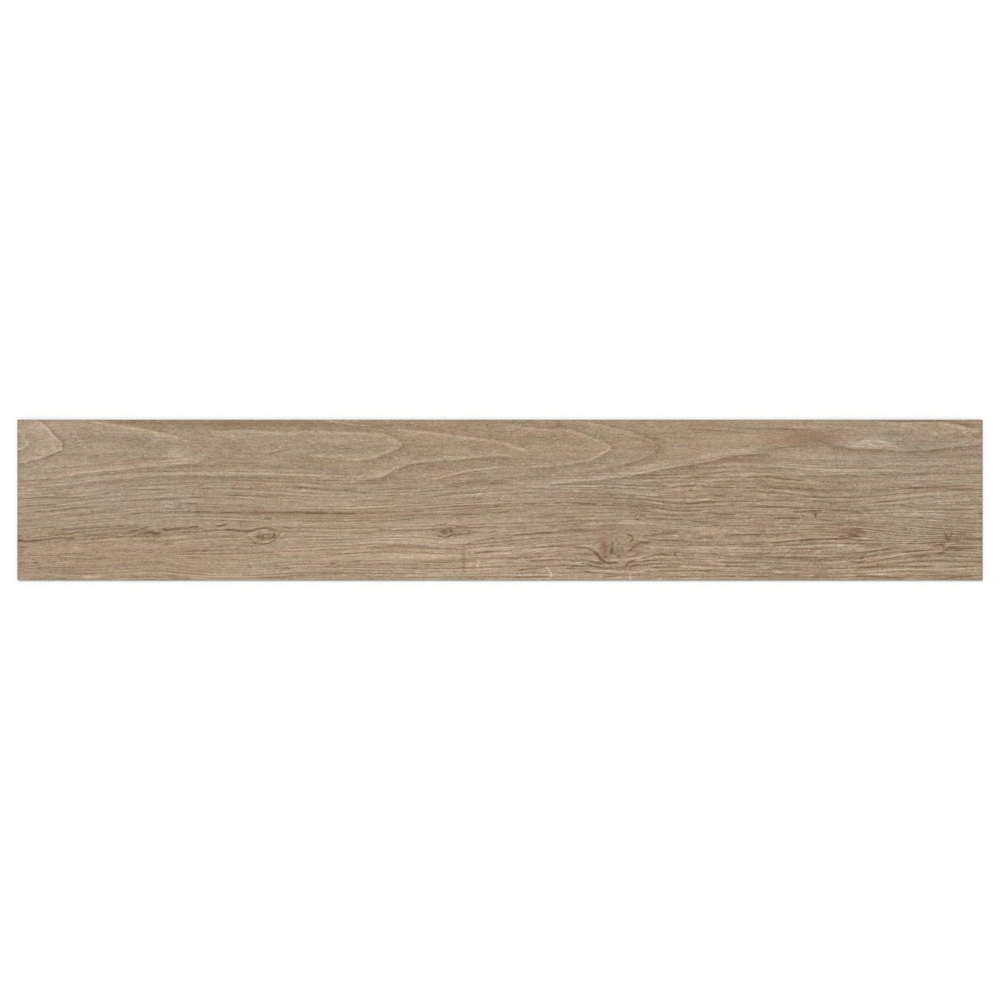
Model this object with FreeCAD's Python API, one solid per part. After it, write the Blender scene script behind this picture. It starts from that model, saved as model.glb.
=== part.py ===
import FreeCAD, Part
import math
import os

from FreeCAD import Vector

# Wood look porcelain plank tile: one pressed, glazed and fired piece, squared by grinding after the kiln.
# Millimetres. X runs along the plank, Y across it and Z up through the glazed face. The origin is the
# middle of the back, on the plane of the rib crests, which is the plane that the tile lies on.

# Driving dimensions of the squared plank
LENGTH = 1200.0
WIDTH = 200.0
THICKNESS = 9.0  # from the rib crests to the glazed face
FACE_BEVEL = 0.6  # leg of the 45 degree bevel ground round the glazed face
BACK_ARRIS = 0.4  # leg of the blunted edge round the back

# Keying relief that the lower punch presses into the back: a honeycomb of shallow cells
RELIEF_DEPTH = 0.5
RELIEF_MARGIN = 6.0  # plain rim between the ground sides and the honeycomb
CELL_FLATS = 22.0  # a cell's mouth, across its flats
RIB_CREST = 2.0  # flat crest of the rib between two cells
WALL_SLOPE_DEG = 45.0  # lean of a cell's walls away from upright, so that the punch lets go
LEAST_CELL_SHARE = 0.3  # a cell that the rim cuts down further than this is left unpressed

NODE = "plank_tile"

# Worked out from the values above
CELL_PITCH = CELL_FLATS + RIB_CREST
ROW_PITCH = CELL_PITCH * math.sin(math.radians(60.0))
WALL_RUN = math.tan(math.radians(WALL_SLOPE_DEG))  # how far a wall leans over each millimetre of depth
OVERCUT = RELIEF_DEPTH  # a cutter starts this far below the crests, clear of them


def polygon_at(outline, z):
    """The points of a flat outline, lifted to the height z."""
    return [Vector(x, y, z) for x, y in outline]


def face_of(points):
    """A flat face with these corners."""
    return Part.Face(Part.makePolygon(points + points[:1]))


def frustum(low, high):
    """A closed solid between two flat outlines that have as many corners as each other."""
    count = len(low)
    walls = [face_of([low[i], low[(i + 1) % count], high[(i + 1) % count], high[i]]) for i in range(count)]
    solid = Part.Solid(Part.Shell([face_of(low), face_of(high)] + walls))
    if solid.Volume < 0:
        solid.reverse()
    return solid


def hexagon(across_flats):
    """Corners of a hexagon whose flats face along X, so that cells in a row stand flat to flat."""
    reach = across_flats / 2 / math.cos(math.radians(30.0))
    angles = [math.radians(30.0 + 60.0 * step) for step in range(6)]
    return [(reach * math.cos(a), reach * math.sin(a)) for a in angles]


def rectangle(length, width):
    """Corners of a rectangle about the origin."""
    x, y = length / 2, width / 2
    return [(-x, -y), (x, -y), (x, y), (-x, y)]


def tapered_recess(outline, *sizes):
    """A recess with sloping walls: its mouth has these sizes at the crests, and it narrows upwards."""
    at_start = outline(*[size + 2 * WALL_RUN * OVERCUT for size in sizes])
    at_floor = outline(*[size - 2 * WALL_RUN * RELIEF_DEPTH for size in sizes])
    return frustum(polygon_at(at_start, -OVERCUT), polygon_at(at_floor, RELIEF_DEPTH))


def cell_centres():
    """Centres of the honeycomb's cells, mirrored about both middle lines, with a rib through the origin."""
    rows = math.ceil(WIDTH / 2 / ROW_PITCH)
    columns = math.ceil(LENGTH / 2 / CELL_PITCH)
    for row in range(-rows, rows + 1):
        shift = 0.0 if row % 2 else CELL_PITCH / 2
        for column in range(-columns - 1, columns + 1):
            yield Vector(column * CELL_PITCH + shift, row * ROW_PITCH, 0)


def keying_relief():
    """Every cell that is pressed into the back, cut down to the rectangle inside the plain rim."""
    cell = tapered_recess(hexagon, CELL_FLATS)
    field = tapered_recess(rectangle, LENGTH - 2 * RELIEF_MARGIN, WIDTH - 2 * RELIEF_MARGIN)
    pressed = []
    for centre in cell_centres():
        whole = cell.translated(centre)
        inside = whole.common(field)
        if inside.Volume >= LEAST_CELL_SHARE * whole.Volume:
            pressed.extend(inside.Solids)
    return pressed


def edges_at(solid, z):
    """The edges that lie in the horizontal plane at z."""
    box_fits = 1e-6
    return [
        edge
        for edge in solid.Edges
        if abs(edge.BoundBox.ZMin - z) < box_fits and abs(edge.BoundBox.ZMax - z) < box_fits
    ]


def squared_slab():
    """The plank with its ground sides, its bevelled face and its blunted back edge."""
    slab = Part.makeBox(LENGTH, WIDTH, THICKNESS, Vector(-LENGTH / 2, -WIDTH / 2, 0))
    slab = slab.makeChamfer(FACE_BEVEL, edges_at(slab, THICKNESS))
    return slab.makeChamfer(BACK_ARRIS, edges_at(slab, 0.0))


def plank_tile():
    """The whole tile."""
    tile = squared_slab().cut(Part.makeCompound(keying_relief()))
    return tile.Solids[0]


def main():
    tile = plank_tile()
    os.makedirs("parts", exist_ok=True)
    tile.exportStep(os.path.join("parts", NODE + ".step"))
    box = tile.BoundBox
    print(NODE, "valid", tile.isValid(), "faces", len(tile.Faces), "volume_mm3", round(tile.Volume, 1))
    print("size", round(box.XLength, 3), round(box.YLength, 3), round(box.ZLength, 3), "low z", round(box.ZMin, 3))


main()
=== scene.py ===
import math

import bmesh
import bpy
import numpy as np
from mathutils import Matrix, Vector


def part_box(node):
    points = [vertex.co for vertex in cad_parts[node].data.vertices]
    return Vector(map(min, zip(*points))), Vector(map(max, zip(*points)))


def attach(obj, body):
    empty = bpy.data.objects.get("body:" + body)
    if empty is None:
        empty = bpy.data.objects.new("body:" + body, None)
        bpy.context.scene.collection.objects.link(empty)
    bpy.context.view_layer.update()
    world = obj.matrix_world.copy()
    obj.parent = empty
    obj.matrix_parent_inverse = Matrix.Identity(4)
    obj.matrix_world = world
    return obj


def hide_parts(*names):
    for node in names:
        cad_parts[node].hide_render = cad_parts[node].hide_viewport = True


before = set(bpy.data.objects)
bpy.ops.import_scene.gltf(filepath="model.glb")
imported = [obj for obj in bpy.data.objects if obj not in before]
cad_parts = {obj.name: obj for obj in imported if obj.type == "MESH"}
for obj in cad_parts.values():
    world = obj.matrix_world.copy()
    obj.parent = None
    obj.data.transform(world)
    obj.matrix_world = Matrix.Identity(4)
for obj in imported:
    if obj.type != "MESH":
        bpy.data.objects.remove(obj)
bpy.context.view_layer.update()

# The tile's own sizes, in metres. X runs along the plank, Y across it and Z up through the glazed face.
NODE = "plank_tile"
LOW, HIGH = (Vector(corner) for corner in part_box(NODE))
LENGTH = HIGH.x - LOW.x
WIDTH = HIGH.y - LOW.y
TOP = HIGH.z
FACE_BEVEL = 0.0006
BACK_ARRIS = 0.0004
BACK_RELIEF_TOP = 0.001  # every face of the back's relief lies below this height
WELD = 0.000001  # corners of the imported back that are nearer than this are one

# The photo's frame, 1000 by 1000 pixels from its top left corner, and where the tile's edges lie in it
PHOTO_SIZE = 1000.0
TILE_LEFT, TILE_RIGHT = 17.27, 982.75
TILE_TOP, TILE_BOTTOM = 419.42, 580.61
PIXEL = LENGTH / (TILE_RIGHT - TILE_LEFT)
CENTRE_X = (TILE_LEFT + TILE_RIGHT) / 2
CENTRE_Y = (TILE_TOP + TILE_BOTTOM) / 2

# Mesh of the glazed face: rows across the plank, and columns that crowd together at the knots
ROWS = 226
COARSE_COLUMN = 0.0037
FINE_COLUMN = 0.0015
TRIAL_COLUMNS = 6001  # places at which the spacing of the columns is worked out
# Where the columns crowd: middle and half width in pixels
FINE_STRETCHES = [(53, 9), (152, 7), (266, 16), (451, 15), (549, 4), (617, 26), (638, 5), (675.5, 3),
                  (815.5, 3), (856, 8), (946, 10)]
FACE, SIDE, BACK = range(3)  # the mesh's materials
ONCE_ROUND = [(-1, -1), (1, -1), (1, 1), (-1, 1)]  # signs of X and Y at a rectangle's corners

# Relief of the glazed face: what sinks it, as shares that are then scaled to the depth
RELIEF_DEPTH = 0.00012  # deepest groove below the highest points
DARK_SINKS = 0.6
STREAKS_SINK = [(0.10, 11, 6, 1), (0.14, 12, 22, 9)]  # share, seed, reach in columns and in rows
STREAK_TAIL = 3  # reaches from a streak's middle, beyond which nothing of it is left
STREAK_SPREAD = 2.5  # this many standard deviations of the streaks count as 1

# How the drawn strokes are laid down
COURSE_STEPS = 4  # straight pieces of a course between two drawn points
THINNEST_SPREAD = 0.00062  # metres, so that no line falls between the mesh's rows
STROKE_REACH = 3  # spreads or fades from a stroke's course, beyond which nothing is drawn
LINE_TAPER = 0.18  # share of a line's length over which either end fades
RING_TAPER = 0.06  # the same for a ring
RING_EDGE = 0.9  # pixels over which a ring's dark side begins
RING_LIP = 1.5  # pixels from a ring's course to the middle of its pale lip, and the lip's spread
PALE_CLEARS = 1.4  # how strongly a pale spot clears the dark that was drawn before it

# How the fibres follow the guides and the knots
GUIDE_STRETCH = (0.35, 1.0)  # guides count as nearer along the plank than across it
GUIDE_GIVE = 0.00001  # lets the fibres miss a guide a little, for a smoother run
KNOT_PUSH = 0.62  # share of its height above a knot by which a fibre is pushed away
NO_DISTANCE = 1e-12  # stands in for 0 where a logarithm is taken

# The print's greys, in the photo's 0 to 255 steps, and how its red, green and blue stand to the darkest,
# the middle and the palest of them
DARKEST, MIDDLE, PALEST = 78.0, 147.5, 200.0
PRINT_OFFSETS = ((20.1, 18.0, 17.1), (-3.9, -3.4, -3.6), (-30.3, -28.0, -23.9))
PRINT_TONES = 7  # tones from the darkest to the palest

# Noises: a grain's sizes along, across and through the tile in metres, seed, detail, roughness
NOISES = {
    "long fibres": ((0.150, 0.0031, 1.0), 3.0, 2.0, 0.55),
    "short fibres": ((0.046, 0.0013, 1.0), 17.0, 3.0, 0.55),
    "flecks": ((0.0075, 0.00115, 1.0), 71.0, 2.0, 0.6),
    "breaks": ((0.020, 0.0030, 1.0), 29.0, 2.0, 0.6),
    "sand": ((0.0019, 0.00115, 1.0), 41.0, 1.0, 0.7),
    "clouds": ((0.160, 0.016, 1.0), 53.0, 2.0, 0.5),
    "mottle": ((0.015, 0.0052, 1.0), 59.0, 2.0, 0.5),
    "dashes": ((0.020, 0.00105, 1.0), 211.0, 1.0, 0.5),
    "vessels": ((0.0085, 0.0008, 1.0), 67.0, 1.0, 0.5),
    "drift": ((0.300, 0.022, 1.0), 0.0, 2.0, 0.5),
    "wander": ((0.050, 0.009, 1.0), 3.0, 2.0, 0.5),
    "shown": ((0.140, 0.0046, 1.0), 7.0, 2.0, 0.5),
    "rose": ((0.034, 0.009, 1.0), 103.0, 3.0, 0.6),
    "warm": ((0.034, 0.009, 1.0), 131.0, 3.0, 0.6),
    "scratches": ((0.030, 0.00022, 1.0), 5.0, 2.0, 0.6),
    "side specks": ((0.0011, 0.0011, 0.0011), 9.0, 3.0, 0.7),
    "side clouds": ((0.090, 0.012, 1.0), 13.0, 2.0, 0.5),
    "back specks": ((0.0016, 0.0016, 0.0016), 21.0, 4.0, 0.75),
    "back clouds": ((0.060, 0.045, 0.05), 23.0, 3.0, 0.55),
}
NOISE_GAIN = 6.0
OFF_LATTICE = 0.43  # keeps off the noise's own lattice, where it is weakest
MIDDLE_TONE = 0.5  # a bare body's place on the run of its tones, before the noises shift it
PRINT_NOISES = ("long fibres", "short fibres", "flecks", "breaks", "clouds", "mottle", "dashes", "vessels")

# Greys that noises and figure add where growth lines show, where the board is cut flat, and everywhere
LINED_GREYS = {"long fibres": 7.0, "short fibres": 9.0, "dark rings": -26.0, "light rings": 13.0,
               "gleams": 21.0, "flecks": 7.5, "sand": 6.5}
FLAT_GREYS = {"long fibres": 4.0, "short fibres": 5.0, "flecks": 10.0, "sand": 8.0, "mottle": 5.0}
FIGURE_GREYS = {"clouds": 4.2, "sand": 7.5, "tone": 22.0, "ink": -62.0, "shine": 38.0, "flat": -2.4}
PORE_GREYS = -12.0
LEVEL_GREYS = -7.9  # from the middle grey to the level that all the rest is added to
RIGHT_END = (0.03, 0.22)  # X from where to where the growth lines gain strength
RIGHT_GAIN = 0.16
INK_BREAKS = (0.28, 0.98)  # how much the noise of breaks changes a dark stroke, and the stroke's own share
SHINE_BREAKS = (0.25, 0.98)  # the same for the short fibres and a pale stroke
DARK_HAS_PORES = 0.8
GLEAMS_SHOW = (0.55, 1.20)  # values of their noise at which they begin and are full
PORES_SHOW = (0.70, 1.15)

# Growth lines: two families with their distance apart in metres and the shift of their noises' seeds
LINE_FAMILIES = ((0.0052, 81.0), (0.0036, 97.0))
LINES_COUNTED = 100.0  # keeps the count of lines above 0
LINE_WAVES = {"drift": 0.25, "wander": 0.07}  # how many lines' distances they stray from the fibres
LINES_SHOW = (-0.30, 0.60)
LINE_HALF_WIDTH = 0.00095  # metres
PALE_WOOD = (0.20, 0.48)  # shares of the distance apart, from a line, over which the wood turns pale

# Hue: gains of its noises, and what rose and warm do to red, green and blue
HUE_NOISES = {"rose": 2.2, "warm": 1.6}
HUE_FACTORS = ({"rose": 0.014, "warm": 0.012}, {"rose": -0.014}, {"warm": -0.040})
STAIN_TONE = (134, 96, 68)
STAIN_SHARE = 0.7

# Gloss and fine relief of the glazed face, heights in metres
FACE_SPECULAR = 0.32
FACE_ROUGHNESS = 0.56
FACE_ROUGHER = {"short fibres": 0.03, "sand": 0.02, "pores": 0.10}
FACE_BUMPS = {"short fibres": 0.30, "sand": 0.16, "pores": -0.8}
FACE_BUMP_HEIGHT = 0.00005

# The ground sides: bare body, and the engobe and the glaze's edge from these heights up
SIDE_TONES = [(158, 147, 131), (186, 175, 158), (208, 198, 181)]
SIDE_VARIES = {"scratches": 0.16, "side specks": 0.14, "side clouds": 0.14}
ENGOBE_TONE = (200, 192, 179)
ENGOBE_BEGINS = (TOP - 0.00078, TOP - 0.00070)
GLAZE_EDGE_TONE = (146, 131, 115)
GLAZE_BEGINS = (TOP - 0.00052, TOP - 0.00042)
LAYER_WAVES = 0.00004
SIDE_SPECULAR = 0.30
SIDE_ROUGHNESS = 0.70
SIDE_ROUGHER = {"scratches": 0.05, "side specks": 0.03}
SIDE_BUMPS = {"scratches": 0.5, "side specks": 0.4}
SIDE_BUMP_HEIGHT = 0.00004

# The pressed back, and the kiln wash on the rib crests
BACK_TONES = [(150, 137, 119), (178, 165, 146), (202, 191, 173)]
BACK_VARIES = {"back specks": 0.18, "back clouds": 0.16}
WASH_TONE = (222, 218, 208)
WASH_SHARE = 0.75
WASH_SPREAD = 0.3
WASH_VARIES = {"back clouds": 0.5, "back specks": 0.35}
WASH_SHOWS = (-0.2, 0.7)
CREST_HEIGHTS = (0.00002, 0.00012)  # heights between which the wash ends
BACK_SPECULAR = 0.25
BACK_ROUGHNESS = 0.82
BACK_ROUGHER = {"back specks": 0.05}
BACK_BUMP_HEIGHT = 0.00006

# Camera, floor and light
CAMERA_HEIGHT = 6.0
SENSOR = 36.0  # millimetres
FARTHEST_SEEN = 50.0
FLOOR_REACH = 8.0
FLOOR_GAP = 0.0001  # keeps the floor's plane off the rib crests
FLOOR_BOUNCES = (0.72, 0.72, 0.71, 1.0)  # the floor's colour for light that bounces off it
WHITE = (1.0, 1.0, 1.0, 1.0)
FLOOR_SPECULAR = 0.0
FLOOR_ROUGHNESS = 0.9
DAYLIGHT = 0.36  # the surround's share of the light on the face
# Lamps: lean from upright, bearing and softness in degrees, strength
LAMPS = {"key_lamp": (11.0, 125.0, 14.0, 1.47), "fill_lamp": (14.0, -60.0, 40.0, 0.61)}

# The figure, drawn over the photo. Every place is in photo pixels.

# Annual rings of the cathedral figure: darkness outside, paleness inside, reach of the dark side, course.
# Each is drawn so that the outside, where the dark side lies, is on the left hand.
RINGS = [
    (0.32, 0.48, 3.6, [(16, 428), (22, 432), (26, 438), (27.5, 443), (25, 448), (16, 452)]),
    (0.60, 0.48, 2.2, [(34, 418.6), (42, 422.4), (47, 426.4), (51.4, 431.6), (56, 437), (60.6, 440.4),
                       (63, 444.6), (62, 449.5), (57, 452.5), (48, 456), (40, 458.5), (30, 461.5),
                       (16, 464.5)]),
    (0.32, 0.50, 5.0, [(92, 420.5), (105, 422.5), (118, 424.5), (130, 426.5), (143, 428.5), (155, 431),
                       (168, 434)]),
    (0.16, 0.36, 3.0, [(164, 433), (176, 435.6), (190, 440.5), (201, 446.5), (206.5, 453), (204, 458.5),
                       (196, 461.5)]),
    (0.34, 0.45, 4.0, [(210, 462), (195, 463), (180, 464.5), (165, 466), (150, 467), (135, 468.5),
                       (120, 470), (105, 471.3), (95, 472.5), (80, 474), (72, 476), (60, 477.5),
                       (48, 478.5), (30, 480), (16, 481)]),
    (0.30, 0.36, 3.5, [(345, 480), (328, 478.5), (310, 477), (290, 476.5), (262, 476), (245, 475.5),
                       (215, 476), (195, 475.2), (160, 475.5), (140, 476.5), (125, 478), (110, 480),
                       (98, 481), (85, 482.5), (70, 484.5), (48, 486), (30, 487), (16, 488.5)]),
    (0.30, 0.35, 4.0, [(205, 431), (225, 430.5), (243, 429), (258, 430.5), (275, 431.5), (290, 432),
                       (304, 431), (320, 430.5), (335, 431), (350, 431.5), (365, 432), (380, 433),
                       (390, 436.5), (398, 441), (402, 445), (399, 448.5), (392, 451.5), (385, 454.5),
                       (377, 457.5), (368, 459.8), (355, 460.5)]),
    (0.25, 0.50, 4.0, [(395, 427.5), (410, 429.5), (425, 431), (440, 432.5), (455, 434.8), (470, 436.5),
                       (485, 438.5), (497, 440), (507, 442.5), (515, 445.8), (523, 448.3), (533, 452)]),
    (0.42, 0.45, 4.0, [(515, 457), (500, 456.5), (488, 457.5), (475, 457.8), (462, 459.5), (450, 460.3),
                       (437, 461), (425, 462), (415, 463.5), (405, 466), (397, 469), (391, 472),
                       (386, 475.5), (380, 478.3), (370, 479.8), (358, 480.3)]),
    (0.28, 0.42, 4.0, [(500, 425), (515, 424.5), (525, 426.5), (540, 428), (556, 428.5), (568, 429.5),
                       (578, 432), (588, 435.6), (598, 439.4), (606, 443), (611, 447.4), (609, 451),
                       (603, 454.8), (596, 458.4), (588, 461.5), (578, 463), (565, 465.5), (545, 467.5),
                       (525, 469)]),
    (0.35, 0.25, 3.0, [(575, 419.5), (590, 422.3), (604, 425), (620, 429), (632, 432), (643, 435.5),
                       (652, 440), (657, 446), (655, 452), (648, 456.5), (638, 460.5), (625, 464.5),
                       (610, 467.5), (595, 470), (575, 473)]),
    (0.55, 0.50, 3.5, [(776, 449.5), (770, 453), (760, 455), (748, 455.3), (738, 456), (728, 458),
                       (718, 460.5), (706, 463.2), (692, 465.3), (677, 467), (662, 469.5), (650, 472.3),
                       (635, 475.5), (620, 477.8), (605, 479.3), (592, 481), (577, 481.5), (562, 483.3),
                       (545, 485.5)]),
    (0.50, 0.30, 3.5, [(985, 443.6), (976, 444.8), (966, 446.2), (957, 447.2), (948, 447.9), (932, 449.6),
                       (915, 451), (900, 451), (885, 450), (868, 449), (850, 448.5), (838, 446.5),
                       (825, 444.5)]),
    (0.50, 0.50, 3.0, [(886, 422), (905, 421), (925, 421), (940, 421.5), (950, 422.8), (960, 425),
                       (968, 427.5), (978, 428.5)]),
    (0.35, 0.20, 2.5, [(727, 471), (717, 472), (704, 473.8), (693, 476), (680, 478.5)]),
    (0.40, 0.20, 3.0, [(862, 475), (840, 474.7), (820, 475.7), (800, 475.8), (780, 475.3), (765, 475.6),
                       (748, 477.6), (735, 479), (724, 480.2), (714, 482), (700, 484)]),
]

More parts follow.
